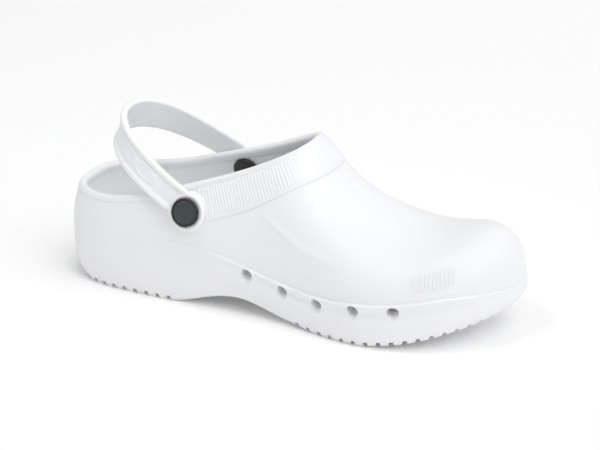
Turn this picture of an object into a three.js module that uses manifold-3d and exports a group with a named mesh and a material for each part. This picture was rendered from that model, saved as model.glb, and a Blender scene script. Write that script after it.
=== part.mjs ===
// A right-foot work clog: one moulded foam body, a heel strap that two rivets hold, and a loose insole.
// Millimetres. X runs from the heel to the toe, Y towards the inner side of the foot, Z up from the floor.
// The lateral side is the outer side of the foot, at -Y, and the medial side is at +Y.
import * as THREE from "three";
import { mergeVertices } from "three/addons/utils/BufferGeometryUtils.js";
import Module from "manifold-3d";

const wasm = await Module();
wasm.setup();

// Body
const LENGTH = 288;
const BALL_WIDTH = 108;
const INSTEP_HEIGHT = 103.5; // the throat of the collar
const THROAT_AT = 157; // from the back of the heel
const HEEL_COLLAR_HEIGHT = 62; // the collar at the back of the heel
const SIDE_HEIGHT = 27; // the ledge between the sole's side and the upper, at the ball
const TOE_SPRING = 16; // the tread at the tip of the toe
const ARCH_RISE = 9.4;
const SEAT_HEIGHT = 25; // the middle of the moulded footbed under the heel
const CUP_RISE = 6; // the footbed's edge above its middle
const WALL = 4.5; // of the upper
const SIDE_WALL = 8; // of the sole's side, above the footbed
const LEDGE = 2; // how far the upper stands in from the sole's side
const TUCK = 4.5; // how far the tread's edge stands in from the sole's side
const SIDE_HOLLOW = 1.3; // depth of the trough along the sole's side

// Raised band below the collar
const BAND_WIDTH = 24.5;
const BAND_RAISE = 0.8;
const BAND_STEP = 1; // width of the slope at its lower edge
const BAND_ROOT = 1.2; // how deep the band reaches into the wall that it is one with

// Vents through the sides
const VENT_DIAMETER = 6.5;
const VENT_PITCH = 24.2;
const VENT_COUNT = 5;
const FIRST_VENT = 130.5; // from the back of the heel
const VENT_DROP = 4.8; // below the ledge
const VENT_RISE = 15; // degrees that a vent climbs on its way in
const VENT_OUTER_END = 5;
const VENT_INNER_END = 14;

// Tread
const LUG_DEPTH = 2.6;
const LUG_LENGTH = 7;
const LUG_PITCH = 8;
const NOTCH_WIDTH = 2.8;
const NOTCH_HEIGHT = 2.4;
const NOTCH_PAST = 1; // how far a notch runs past the lugs at each end
const BLOCK_LENGTH = 7.5;
const BLOCK_PITCH = 12;
const BLOCK_ROOT = 1; // how deep a block reaches into the sole that it is one with
const BLOCK_EDGE_GAP = 3;
const BLOCK_MIDDLE_GAP = 4;
const HEEL_TREAD_END = 84;
const BALL_TREAD_START = 162;
const TREAD_MARGIN = 24; // plain floor of the tread at the heel and the toe

// Rivets, along their axis from the seat on the wall
const LATERAL_RIVET_AT = 93; // from the back of the heel
const LATERAL_RIVET_HEIGHT = 61; // where the axis leaves the wall
const MEDIAL_RIVET_AT = 98;
const MEDIAL_RIVET_HEIGHT = 65;
const RIVETS = [
  { side: "lateral", outward: -1, at: LATERAL_RIVET_AT, height: LATERAL_RIVET_HEIGHT },
  { side: "medial", outward: 1, at: MEDIAL_RIVET_AT, height: MEDIAL_RIVET_HEIGHT },
];
const CAP_DIAMETER = 17.5;
const CAP_THICKNESS = 2.3;
const CAP_ROUND = 0.9;
const BADGE_DIAMETER = 14.6;
const BADGE_THICKNESS = 0.8;
const SHANK_DIAMETER = 7;
const SHANK_GRIP = 1.4; // how deep the shank's end sits in the button
const BUTTON_DIAMETER = 16.5;
const BUTTON_THICKNESS = 2.6;
const BOSS_DIAMETER = 23;
const BOSS_RAISE = 1.2;
const BOSS_WALL = 5.4; // from the seat to the button's seat inside
const EYE_CLEARANCE = 9; // open space outside the seat
const BUTTON_CLEARANCE = 18; // open space inside the button's seat

// Heel strap
const STRAP_END_WIDTH = 17;
const STRAP_BACK_WIDTH = 19.5;
const STRAP_THICKNESS = 4.4;
const STRAP_REACH = 72; // from the rivets back to the strap's middle, along its slope
const STRAP_SLOPE = 28.5; // degrees
const STRAP_ROUNDNESS = 2.1; // 2 makes its loop an ellipse
const STRAP_LIFT = 2.2; // the strap's middle line above the middle of its eye
const STRAP_BACK_LEAN = -11; // degrees that the back of the strap turns from square to its slope
const STRAP_FLAT_FROM = 0.86; // share of the way round at which it lies flat to the wall
const STRAP_SHIFT = 1.3; // of the strap's back, towards the medial side
const STRAP_BORDER = 3;
const STRAP_RECESS = 0.9;
const STRAP_EDGE_ROUND = 1;
const EYE_DIAMETER = 22.5;
const EYE_THICKNESS = 5;
const EYE_MARGIN = 0.8; // flat ground round an eye

// Insole
const INSOLE_THICKNESS = 4;
const INSOLE_EDGE_GAP = 0.8;
const GAP = 0.3; // between pieces that touch

// Fineness
const REAR_STEPS = 23; // outline points on each side of the foot, behind the throat
const REAR_EASE = 1.6; // how much closer they stand towards the throat
const FRONT_STEPS = 16;
const RIM_LEAD = 1.3; // how far past the rim the lines up the wall first aim
const RIM_TURN = 4; // how late they turn back to it
const ROUND_STEPS = 18;
const VENT_STEPS = 10;
const STRAP_STEPS = 32;

// The plan outline, clockwise from the heel by the lateral side, as shares of the length and the ball's width
const OUTLINE = [
  { along: 0.0, across: -0.02 },
  { along: 0.0, across: -0.22 },
  { along: 0.06, across: -0.35 },
  { along: 0.16, across: -0.395 },
  { along: 0.3, across: -0.41 },
  { along: 0.44, across: -0.4 },
  { along: 0.57, across: -0.46 },
  { along: 0.7, across: -0.575 },
  { along: 0.83, across: -0.515 },
  { along: 0.94, across: -0.325 },
  { along: 1.0, across: -0.09 },
  { along: 1.01, across: 0.125 },
  { along: 0.965, across: 0.3 },
  { along: 0.86, across: 0.455 },
  { along: 0.73, across: 0.49 },
  { along: 0.6, across: 0.455 },
  { along: 0.46, across: 0.39 },
  { along: 0.3, across: 0.365 },
  { along: 0.16, across: 0.375 },
  { along: 0.06, across: 0.345 },
  { along: 0.0, across: 0.2 },
];

// Heights of the tread: shares of the arch's rise and of the toe spring; below 0 it lies flat on the floor
const TREAD = [
  { at: 0.0, arch: 0.12, spring: 0 },
  { at: 0.06, arch: -0.02, spring: 0 },
  { at: 0.15, arch: -0.02, spring: 0 },
  { at: 0.26, arch: -0.03, spring: 0 },
  { at: 0.3, arch: 0.16, spring: 0 },
  { at: 0.34, arch: 0.52, spring: 0 },
  { at: 0.385, arch: 0.88, spring: 0 },
  { at: 0.425, arch: 1.0, spring: 0 },
  { at: 0.46, arch: 0.86, spring: 0 },
  { at: 0.5, arch: 0.54, spring: 0 },
  { at: 0.55, arch: 0.23, spring: 0 },
  { at: 0.6, arch: 0.03, spring: 0 },
  { at: 0.64, arch: -0.03, spring: -0.02 },
  { at: 0.7, arch: -0.02, spring: -0.02 },
  { at: 0.75, arch: -0.01, spring: 0.06 },
  { at: 0.82, arch: 0, spring: 0.24 },
  { at: 0.9, arch: 0, spring: 0.57 },
  { at: 1.0, arch: 0, spring: 1.06 },
];

// The sole's side and the footbed: the widest line and the ledge as shares of the side's height, the hollow,
// ledge and tuck as shares of their own sizes, and the footbed's middle as a share of the seat's height
const SIDE = [
  { at: 0.0, belly: 0.86, ledge: 1.26, hollow: 0, step: 0, tuck: 1.3, seat: 1.06 },
  { at: 0.06, belly: 0.88, ledge: 1.33, hollow: 0, step: 0, tuck: 1.1, seat: 1.0 },
  { at: 0.15, belly: 0.92, ledge: 1.44, hollow: 0, step: 0, tuck: 1.0, seat: 0.97 },
  { at: 0.3, belly: 0.96, ledge: 1.52, hollow: 0, step: 0.12, tuck: 0.9, seat: 1.0 },
  { at: 0.4, belly: 0.95, ledge: 1.34, hollow: 0.2, step: 0.4, tuck: 0.9, seat: 1.02 },
  { at: 0.48, belly: 0.84, ledge: 1.12, hollow: 0.6, step: 0.8, tuck: 0.9, seat: 0.96 },
  { at: 0.54, belly: 0.72, ledge: 1.0, hollow: 1, step: 1, tuck: 0.9, seat: 0.84 },
  { at: 0.6, belly: 0.62, ledge: 0.94, hollow: 1, step: 1, tuck: 0.9, seat: 0.7 },
  { at: 0.7, belly: 0.6, ledge: 1.0, hollow: 1, step: 1, tuck: 0.9, seat: 0.6 },
  { at: 0.8, belly: 0.66, ledge: 1.1, hollow: 1, step: 1, tuck: 1.0, seat: 0.6 },
  { at: 0.9, belly: 0.84, ledge: 1.24, hollow: 0.6, step: 0.8, tuck: 1.2, seat: 0.72 },
  { at: 1.0, belly: 1.02, ledge: 1.2, hollow: 0, step: 0.5, tuck: 1.4, seat: 0.95 },
];

// The upper's crest as a share of the instep's height, its sideways place as a share of the ball's width, and
// how square its section is; behind the throat the crest is the one that the collar cuts away
const UPPER = [
  { at: 0.0, crest: 0.965, across: 0, square: 1.33 },
  { at: 0.06, crest: 1.0, across: 0, square: 1.3 },
  { at: 0.15, crest: 1.085, across: 0, square: 1.15 },
  { at: 0.3, crest: 1.195, across: 0.01, square: 0.95 },
  { at: 0.4, crest: 1.205, across: 0.02, square: 1.05 },
  { at: 0.48, crest: 1.115, across: 0.03, square: 1.55 },
  { at: 0.545, crest: 1.0, across: 0.035, square: 1.9 },
  { at: 0.6, crest: 0.82, across: 0.045, square: 2.05 },
  { at: 0.7, crest: 0.617, across: 0.06, square: 2.4 },
  { at: 0.8, crest: 0.552, across: 0.07, square: 2.7 },
  { at: 0.9, crest: 0.6, across: 0.08, square: 2.7 },
  { at: 1.0, crest: 0.69, across: 0.08, square: 2.8 },
];

// The collar's height between the back of the heel and the throat, from 0 at the heel's to 1 at the instep's
const COLLAR = [
  { at: 0.0, rise: 0 },
  { at: 0.26, rise: 0.005 },
  { at: 0.385, rise: 0.115 },
  { at: 0.605, rise: 0.39 },
  { at: 0.77, rise: 0.61 },
  { at: 1.0, rise: 1 },
];

// Where on the crest each place of the outline points to
const CREST_MAP = [
  { at: 0.0, along: 0.13 },
  { at: 0.1, along: 0.165 },
  { at: 0.25, along: 0.26 },
  { at: 0.5, along: 0.5 },
  { at: 0.75, along: 0.735 },
  { at: 0.9, along: 0.825 },
  { at: 1.0, along: 0.85 },
];

const WHITE_FOAM = { color: 0xf1f2f3, roughness: 0.55, metalness: 0 };
const INSOLE_FOAM = { color: 0xe6e7e8, roughness: 0.8, metalness: 0 };
const BLACK_PLASTIC = { color: 0x141516, roughness: 0.35, metalness: 0 };
const BADGE_PRINT = { color: 0x23302c, roughness: 0.4, metalness: 0 };

// A smooth curve through one column of a table
function curveOf(rows, column) {
  const last = rows.length - 1;
  const bend = rows.map(() => 0);
  const pull = rows.map(() => 0);
  for (let i = 1; i < last; i += 1) {
    const before = rows[i].at - rows[i - 1].at;
    const after = rows[i + 1].at - rows[i].at;
    const turn = (rows[i + 1][column] - rows[i][column]) / after - (rows[i][column] - rows[i - 1][column]) / before;
    const weight = before * pull[i - 1] + 2 * (before + after);
    pull[i] = -after / weight;
    bend[i] = (6 * turn - before * bend[i - 1]) / weight;
  }
  for (let i = last - 1; i > 0; i -= 1) {
    bend[i] += pull[i] * bend[i + 1];
  }
  return (at) => {
    const place = THREE.MathUtils.clamp(at, rows[0].at, rows[last].at);
    const i = Math.max(1, rows.findIndex((row) => row.at >= place));
    const span = rows[i].at - rows[i - 1].at;
    const left = place - rows[i - 1].at;
    const right = rows[i].at - place;
    return (
      (bend[i - 1] * right ** 3 + bend[i] * left ** 3) / (6 * span) +
      (rows[i - 1][column] / span - (bend[i - 1] * span) / 6) * right +
      (rows[i][column] / span - (bend[i] * span) / 6) * left
    );
  };
}

const treadArch = curveOf(TREAD, "arch");
const treadSpring = curveOf(TREAD, "spring");
const sideBelly = curveOf(SIDE, "belly");
const sideLedge = curveOf(SIDE, "ledge");
const sideHollow = curveOf(SIDE, "hollow");
const sideStep = curveOf(SIDE, "step");
const sideTuck = curveOf(SIDE, "tuck");
const footbedSeat = curveOf(SIDE, "seat");
const crestRise = curveOf(UPPER, "crest");
const crestAcross = curveOf(UPPER, "across");
const upperSquare = curveOf(UPPER, "square");
const collarRise = curveOf(COLLAR, "rise");
const crestAlong = curveOf(CREST_MAP, "along");

const share = (x) => THREE.MathUtils.clamp(x / LENGTH, 0, 1);
const positive = (value) => Math.max(0, value);
const treadHeight = (x) => ARCH_RISE * positive(treadArch(share(x))) + TOE_SPRING * positive(treadSpring(share(x)));
const ledgeHeight = (x) => SIDE_HEIGHT * sideLedge(share(x));
const bellyHeight = (x) => SIDE_HEIGHT * sideBelly(share(x));
const crestHeight = (x) => INSTEP_HEIGHT * crestRise(share(x));
const ledgeDepth = (x) => LEDGE * positive(sideStep(share(x)));
const collarHeight = (x) =>
  HEEL_COLLAR_HEIGHT + (INSTEP_HEIGHT - HEEL_COLLAR_HEIGHT) * collarRise(x / THROAT_AT);

// The outline as a closed B-spline, cut at the heel's back and the toe's tip into a lateral and a medial edge
function plotOutline() {
  const steps = 40;
  const loop = [];
  OUTLINE.forEach((start, i) => {
    const [b, c, d] = [1, 2, 3].map((k) => OUTLINE[(i + k) % OUTLINE.length]);
    for (let k = 0; k < steps; k += 1) {
      const t = k / steps;
      const weights = [(1 - t) ** 3, 3 * t ** 3 - 6 * t * t + 4, -3 * t ** 3 + 3 * t * t + 3 * t + 1, t ** 3];
      const mix = (name) =>
        (weights[0] * start[name] + weights[1] * b[name] + weights[2] * c[name] + weights[3] * d[name]) / 6;
      loop.push({ x: mix("along"), y: mix("across") });
    }
  });
  const xs = loop.map((p) => p.x);
  const ys = loop.map((p) => p.y);
  const heel = Math.min(...xs);
  const long = LENGTH / (Math.max(...xs) - heel);
  const wide = BALL_WIDTH / (Math.max(...ys) - Math.min(...ys));
  const start = xs.indexOf(heel);
  const turned = loop.map((_, i) => loop[(start + i) % loop.length]);
  const scaled = turned.map((p) => ({ x: (p.x - heel) * long, y: p.y * wide }));
  const tip = scaled.findIndex((p) => p.x === Math.max(...scaled.map((q) => q.x)));
  const medial = [...scaled.slice(tip), scaled[0]].reverse();
  return { lateral: scaled.slice(0, tip + 1), medial };
}

const edges = plotOutline();

// The outline's distance across at a place along the foot
function edgeAcross(side, x) {
  const edge = edges[side];
  const i = THREE.MathUtils.clamp(edge.findIndex((p) => p.x >= x), 1, edge.length - 1);
  const t = THREE.MathUtils.clamp((x - edge[i - 1].x) / (edge[i].x - edge[i - 1].x), 0, 1);
  return THREE.MathUtils.lerp(edge[i - 1].y, edge[i].y, t);
}

// The outline place whose crest point lies at the throat
function throatTurn() {
  let low = 0;
  let high = Math.PI;
  for (let i = 0; i < 50; i += 1) {
    const middle = (low + high) / 2;
    if (crestAlong((1 - Math.cos(middle)) / 2) * LENGTH < THROAT_AT) {
      low = middle;
    } else {
      high = middle;
    }
  }
  return low;
}

// Points round the outline, in pairs that face each other, closer together at the heel, the throat and the toe
function plotPlan() {
  const throat = throatTurn();
  const turnAt = (pair) =>
    pair <= REAR_STEPS
      ? throat * (1 - (1 - pair / REAR_STEPS) ** REAR_EASE)
      : throat + ((Math.PI - throat) * (pair - REAR_STEPS)) / FRONT_STEPS;
  const half = REAR_STEPS + FRONT_STEPS;
  const points = [];
  for (let k = 0; k < 2 * half; k += 1) {
    const pair = k <= half ? k : 2 * half - k;
    const side = k <= half ? "lateral" : "medial";
    const x = (LENGTH * (1 - Math.cos(turnAt(pair)))) / 2;
    points.push({ side, x, y: edgeAcross(side, x), pair });
  }
  points.forEach((point, k) => {
    const before = points[(k + points.length - 1) % points.length];
    const after = points[(k + 1) % points.length];
    const size = Math.hypot(after.x - before.x, after.y - before.y);
    point.outX = (after.y - before.y) / size;
    point.outY = (before.x - after.x) / size;
  });
  return points;
}

function inward(point, depth) {
  return { x: point.x - point.outX * depth, y: point.y - point.outY * depth };
}

function crestPoint(point) {
  const along = crestAlong(share(point.x));
  return { x: along * LENGTH, y: crestAcross(along) * BALL_WIDTH };
}

// A point of the upper: angle 0 is at the ledge and a quarter turn at the crest; depth sinks it below the skin
function upperPoint(point, angle, depth) {
  const foot = inward(point, ledgeDepth(point.x) + depth);
  const crest = crestPoint(point);
  const reach = positive(Math.cos(angle)) ** (2 / upperSquare(share(point.x)));
  const x = crest.x + reach * (foot.x - crest.x);
  const y = crest.y + reach * (foot.y - crest.y);
  const base = ledgeHeight(point.x);
  return new THREE.Vector3(x, y, base + (crestHeight(x) - depth - base) * Math.sin(angle));
}

// The angle at which a condition on the upper's skin first holds
function angleWhere(point, holds) {
  const quarter = Math.PI / 2;
  const steps = 200;
  for (let k = 1; k <= steps; k += 1) {
    if (holds(upperPoint(point, (quarter * k) / steps, 0))) {
      let low = (quarter * (k - 1)) / steps;
      let high = (quarter * k) / steps;
      for (let i = 0; i < 20; i += 1) {
        const middle = (low + high) / 2;
        if (holds(upperPoint(point, middle, 0))) {
          high = middle;
        } else {
          low = middle;
        }
      }
      return high;
    }
  }
  return quarter;
}

// A point of the outline's inner stretches, away from the heel's back and the toe's tip
function planPoint(side, x) {
  const step = 0.5;
  const slope = (edgeAcross(side, x + step) - edgeAcross(side, x - step)) / (2 * step);
  const outward = side === "lateral" ? -1 : 1;
  const size = Math.hypot(slope, 1);
  return { side, x, y: edgeAcross(side, x), outX: (-outward * slope) / size, outY: outward / size };
}

const plan = plotPlan();
const aboveCollar = (p) => p.x < THROAT_AT && p.z > collarHeight(p.x);
plan.forEach((point) => {
  point.rim = point.pair < REAR_STEPS ? angleWhere(point, aboveCollar) : Math.PI / 2;
});

// The band's lower edge lies a fixed distance below the collar's edge, and round the front of the throat
const rimPoints = plan
  .filter((point) => point.pair <= REAR_STEPS)
  .map((point) => upperPoint(point, point.rim, 0));
const nearRim = (distance) => (p) => rimPoints.some((rim) => rim.distanceTo(p) < distance);
plan.forEach((point) => {
  point.band = Math.min(angleWhere(point, nearRim(BAND_WIDTH)), point.rim);
  point.bandTop = Math.min(angleWhere(point, nearRim(BAND_WIDTH - BAND_STEP)), point.rim);
});

const tuckDepth = (point) => TUCK * sideTuck(share(point.x));
const middle = (from, to) => (from + to) / 2;

// A ring of the sole's side at a depth below its skin
function sideRing(depthAt, heightAt) {
  return plan.map((point) => {
    const p = inward(point, depthAt(point));
    return new THREE.Vector3(p.x, p.y, heightAt(p.x, point));
  });
}

// A ring of the underside or the footbed: reach 0 is the middle line and 1 is the edge at a depth
function bedRing(reach, depthAt, heightAt) {
  return plan.map((point) => {
    const edge = inward(point, depthAt(point));
    const crest = crestPoint(point);
    const x = THREE.MathUtils.lerp(crest.x, edge.x, reach);
    const y = THREE.MathUtils.lerp(crest.y, edge.y, reach);
    return new THREE.Vector3(x, y, heightAt(x, reach));
  });
}

// The angle at a part of the way up to the rim: near the throat only the last part follows the rim's sharp turn
function angleUp(point, part) {
  const full = Math.min(Math.PI / 2, point.rim * RIM_LEAD);
  return full * part - (full - point.rim) * part ** RIM_TURN;
}

const upperRing = (angleAt, depthAt) => plan.map((point) => upperPoint(point, angleAt(point), depthAt(point)));

const lugFoot = (point) => tuckDepth(point) + LUG_LENGTH;
const floorHeight = (x) => treadHeight(x) + LUG_DEPTH;
const bedHeight = (x, reach) => SEAT_HEIGHT * footbedSeat(share(x)) + CUP_RISE * reach ** 3;

// Triangles between rings of as many points; a strip along the rim is left out where the vamp has no edge
function skinOf(rings, rimStrip = -1) {
  const count = rings[0].length;
  const corners = [];
  for (let r = 0; r < rings.length - 1; r += 1) {
    for (let i = 0; i < count; i += 1) {
      const j = (i + 1) % count;
      if (r !== rimStrip || plan[i].pair < REAR_STEPS || plan[j].pair < REAR_STEPS) {
        const [a, b, c, d] = [rings[r][i], rings[r][j], rings[r + 1][j], rings[r + 1][i]];
        corners.push(...(a.distanceTo(c) < b.distanceTo(d) ? [a, b, c, a, c, d] : [a, b, d, b, c, d]));
      }
    }
  }
  return new THREE.BufferGeometry().setFromPoints(corners);
}

// Joined and cut solids

function solidOf(geometry) {
  const bare = geometry.clone();
  bare.deleteAttribute("normal");
  bare.deleteAttribute("uv");
  const welded = mergeVertices(bare, 1e-4);
  const corners = [];
  for (let i = 0; i < welded.index.count; i += 3) {
    const [a, b, c] = [0, 1, 2].map((k) => welded.index.getX(i + k));
    if (a !== b && b !== c && c !== a) {
      corners.push(a, b, c);
    }
  }
  const vertProperties = new Float32Array(welded.attributes.position.array);
  return new wasm.Manifold(new wasm.Mesh({ numProp: 3, vertProperties, triVerts: new Uint32Array(corners) }));
}

function geometryOf(solid) {
  const mesh = solid.getMesh();
  const geometry = new THREE.BufferGeometry();
  geometry.setAttribute("position", new THREE.BufferAttribute(new Float32Array(mesh.vertProperties), 3));
  geometry.setIndex(new THREE.BufferAttribute(new Uint32Array(mesh.triVerts), 1));
  geometry.computeVertexNormals();
  return geometry;
}

// A cylinder along an axis, from one distance to another
function rod(origin, axis, from, to, diameter, steps) {
  const geometry = new THREE.CylinderGeometry(diameter / 2, diameter / 2, to - from, steps);
  const turn = new THREE.Quaternion().setFromUnitVectors(new THREE.Vector3(0, 1, 0), axis);
  const at = origin.clone().addScaledVector(axis, middle(from, to));
  return solidOf(geometry.applyMatrix4(new THREE.Matrix4().compose(at, turn, new THREE.Vector3(1, 1, 1))));
}

// The place on the upper's skin at a distance along the foot and a height, with its normal
function wallPlace(side, outward, x, z) {
  const angleAt = (point) => angleWhere(point, (p) => p.z > z);
  const onWall = (start) => upperPoint(planPoint(side, start), angleAt(planPoint(side, start)), 0);
  let start = x;
  for (let i = 0; i < 8; i += 1) {
    start += x - onWall(start).x;
  }
  const point = planPoint(side, start);
  const angle = angleAt(point);
  const step = 0.05;
  const up = upperPoint(point, angle + step, 0).sub(upperPoint(point, angle - step, 0));
  const along = onWall(start + 1).sub(onWall(start - 1));
  return { place: onWall(start), normal: along.cross(up).multiplyScalar(-outward).normalize() };
}

// Rivet seats: a flat boss on each side of the collar, square to the axis
const rivets = RIVETS.map(({ side, outward, at, height }) => {
  const { place, normal } = wallPlace(side, outward, at, height);
  const rise = new THREE.Vector3(0, 0, 1).addScaledVector(normal, -normal.z).normalize();
  return { side, axis: normal, rise, seat: place.addScaledVector(normal, BOSS_RAISE) };
});

// Moulded body: underside, side, upper, collar and footbed as one skin, then bosses, blocks and cuts

function bodySkin() {
  const outside = [
    bedRing(0, lugFoot, floorHeight),
    bedRing(1, lugFoot, floorHeight),
    bedRing(1, lugFoot, treadHeight),
    sideRing(tuckDepth, treadHeight),
    sideRing((p) => tuckDepth(p) / 4, (x) => middle(treadHeight(x), bellyHeight(x))),
    sideRing(() => 0, bellyHeight),
    sideRing((p) => SIDE_HOLLOW * positive(sideHollow(share(p.x))), (x) => middle(bellyHeight(x), ledgeHeight(x))),
    sideRing(() => 0, ledgeHeight),
    ...[0, 0.17, 0.34, 0.51, 0.68, 0.84, 1].map((part) => upperRing((p) => angleUp(p, part), () => 0)),
  ];
  const inside = [
    ...[1, 0.75, 0.5, 0.25, 0].map((part) => upperRing((p) => angleUp(p, part), () => WALL)),
    ...[1, 0.75, 0.4, 0].map((part) => bedRing(part, () => SIDE_WALL, bedHeight)),
  ];
  return solidOf(skinOf([...outside, ...inside], outside.length - 1));
}

// The raised band, from the rivets round the throat, as a strip that stands out of the wall
function bandSkin() {
  const starts = plan.map((point) => RIVETS.find(({ side }) => side === point.side).at);
  const inBand = (point, i) => point.x > starts[i] && point.band < point.rim;
  const bandRing = (angleAt, depth) =>
    plan.map((point, i) => {
      if (inBand(point, i)) {
        return upperPoint(point, angleAt(point), depth);
      }
      const near = point.pair > REAR_STEPS ? point : plan.filter((p, k) => p.side === point.side && inBand(p, k));
      const end = near.length ? near.reduce((a, b) => (a.x < b.x ? a : b)) : point;
      return upperPoint(end, near.length ? middle(end.band, end.rim) : end.rim, 0);
    });
  const underRim = 0.02;
  const innerRim = (point) => (point.pair < REAR_STEPS ? point.rim - underRim : point.rim);
  const outside = [
    bandRing((p) => p.band, BAND_ROOT),
    bandRing((p) => p.band, 0),
    bandRing((p) => p.bandTop, -BAND_RAISE),
    bandRing((p) => middle(p.bandTop, p.rim), -BAND_RAISE),
    bandRing((p) => p.rim, -BAND_RAISE),
  ];
  const root = [
    bandRing(innerRim, BAND_ROOT),
    bandRing((p) => middle(p.bandTop, p.rim), BAND_ROOT),
    bandRing((p) => p.band, BAND_ROOT),
  ];
  return solidOf(skinOf([...outside, ...root], outside.length - 1));
}

// Places at even steps round the outline where the tread has lugs
function lugPlaces() {
  const loop = [...edges.lateral, ...[...edges.medial].reverse().slice(1)];
  const places = [];
  let next = LUG_PITCH / 2;
  let run = 0;
  for (let i = 1; i < loop.length; i += 1) {
    const dx = loop[i].x - loop[i - 1].x;
    const dy = loop[i].y - loop[i - 1].y;
    const size = Math.hypot(dx, dy);
    if (run + size >= next) {
      const t = (next - run) / size;
      const x = loop[i - 1].x + dx * t;
      if (x < HEEL_TREAD_END || x > BALL_TREAD_START) {
        places.push({ x, y: loop[i - 1].y + dy * t, outX: dy / size, outY: -dx / size });
      }
      next += LUG_PITCH;
    }
    run += size;
  }
  return places;
}

// A notch between two lugs, open below, to the side and to the tread's floor
function notch(place) {
  const length = tuckDepth(place) + LUG_LENGTH + 2 * NOTCH_PAST;
  const height = 3 * NOTCH_HEIGHT;
  const at = inward(place, length / 2 - NOTCH_PAST);
  const geometry = new THREE.BoxGeometry(length, NOTCH_WIDTH, height);
  geometry.rotateZ(Math.atan2(place.outY, place.outX));
  geometry.translate(at.x, at.y, treadHeight(at.x) + NOTCH_HEIGHT - height / 2);
  return solidOf(geometry);
}

// A tread block across one half of the sole, following the tread's slope
function block(side, x) {
  const outward = side === "lateral" ? -1 : 1;
  const centre = crestAcross(share(x)) * BALL_WIDTH;
  const from = centre + (outward * BLOCK_MIDDLE_GAP) / 2;
  const to = edgeAcross(side, x) - outward * (lugFoot({ x }) + BLOCK_EDGE_GAP);
  const height = LUG_DEPTH + BLOCK_ROOT;
  const [rear, fore] = [-1, 1].map((end) => treadHeight(x + (end * BLOCK_LENGTH) / 2));
  const slope = Math.atan2(fore - rear, BLOCK_LENGTH);
  const geometry = new THREE.BoxGeometry(BLOCK_LENGTH, Math.abs(to - from), height);
  geometry.translate(0, 0, height / 2);
  geometry.rotateY(-slope);
  geometry.translate(x, middle(from, to), middle(rear, fore));
  return solidOf(geometry);
}

function blockPlaces() {
  const places = [];
  for (let x = TREAD_MARGIN; x <= LENGTH - TREAD_MARGIN; x += BLOCK_PITCH) {
    if (x < HEEL_TREAD_END || x > BALL_TREAD_START) {
      places.push(x);
    }
  }
  return places;
}

function vent(side, x) {
  const point = planPoint(side, x);
  const climb = THREE.MathUtils.degToRad(VENT_RISE);
  const inwards = new THREE.Vector3(
    -point.outX * Math.cos(climb),
    -point.outY * Math.cos(climb),
    Math.sin(climb),
  );
  const mouth = new THREE.Vector3(point.x, point.y, ledgeHeight(x) - VENT_DROP);
  return rod(mouth, inwards, -VENT_OUTER_END, VENT_INNER_END, VENT_DIAMETER, VENT_STEPS);
}

function makeBody() {
  let body = bodySkin().add(bandSkin());
  rivets.forEach(({ seat, axis }) => {
    body = body.add(rod(seat, axis, -WALL / 2 - BOSS_RAISE, 0, BOSS_DIAMETER, ROUND_STEPS));
    const room = [
      [0, EYE_CLEARANCE, EYE_DIAMETER + 2 * EYE_MARGIN],
      [-BUTTON_CLEARANCE, -BOSS_WALL, BUTTON_DIAMETER + 4 * GAP],
      [-BUTTON_CLEARANCE, EYE_CLEARANCE, SHANK_DIAMETER + 2 * GAP],
    ];
    room.forEach(([from, to, diameter]) => {
      body = body.subtract(rod(seat, axis, from, to, diameter, ROUND_STEPS));
    });
  });
  lugPlaces().forEach((place) => {
    body = body.subtract(notch(place));
  });
  ["lateral", "medial"].forEach((side) => {
    blockPlaces().forEach((x) => {
      body = body.add(block(side, x));
    });
    for (let k = 0; k < VENT_COUNT; k += 1) {
      body = body.subtract(vent(side, FIRST_VENT + k * VENT_PITCH));
    }
  });
  const [main] = body.decompose().sort((a, b) => b.volume() - a.volume());
  return geometryOf(main);
}

// Insole: a loose sheet that follows the footbed
function makeInsole() {
  const depth = () => SIDE_WALL + INSOLE_EDGE_GAP;
  const under = (x, reach) => bedHeight(x, reach) + GAP;
  const top = (x, reach) => under(x, reach) + INSOLE_THICKNESS;
  const rings = [
    ...[0, 0.4, 0.75, 1].map((reach) => bedRing(reach, depth, under)),
    ...[1, 0.75, 0.4, 0].map((reach) => bedRing(reach, depth, top)),
  ];
  return geometryOf(solidOf(skinOf(rings)));
}

// Heel strap: a band with raised borders on its outer face, swept from one eye round the heel to the other

const strapSlope = THREE.MathUtils.degToRad(STRAP_SLOPE);
const strapWay = new THREE.Vector3(-Math.cos(strapSlope), 0, Math.sin(strapSlope));
const strapUpright = new THREE.Vector3(Math.sin(strapSlope), 0, Math.cos(strapSlope));

// The strap's middle line: t is -1 at the lateral eye, 0 at the back and 1 at the medial eye
function strapStation(t) {
  const [lateral, medial] = rivets.map(({ seat, axis, rise }) =>
    seat.clone().addScaledVector(axis, GAP + EYE_THICKNESS / 2).addScaledVector(rise, STRAP_LIFT),
  );
  const turn = (t * Math.PI) / 2;
  const back = positive(Math.cos(turn)) ** (2 / STRAP_ROUNDNESS);
  const across = Math.sign(turn) * Math.abs(Math.sin(turn)) ** (2 / STRAP_ROUNDNESS);
  const { axis } = across < 0 ? rivets[0] : rivets[1];
  const centre = lateral.clone().lerp(medial, (1 + across) / 2);
  centre.addScaledVector(strapWay, STRAP_REACH * back);
  centre.addScaledVector(axis, -strapWay.dot(axis) * STRAP_REACH * back * (1 - back) ** 2);
  centre.y += STRAP_SHIFT * back * back;
  return centre;
}

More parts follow.
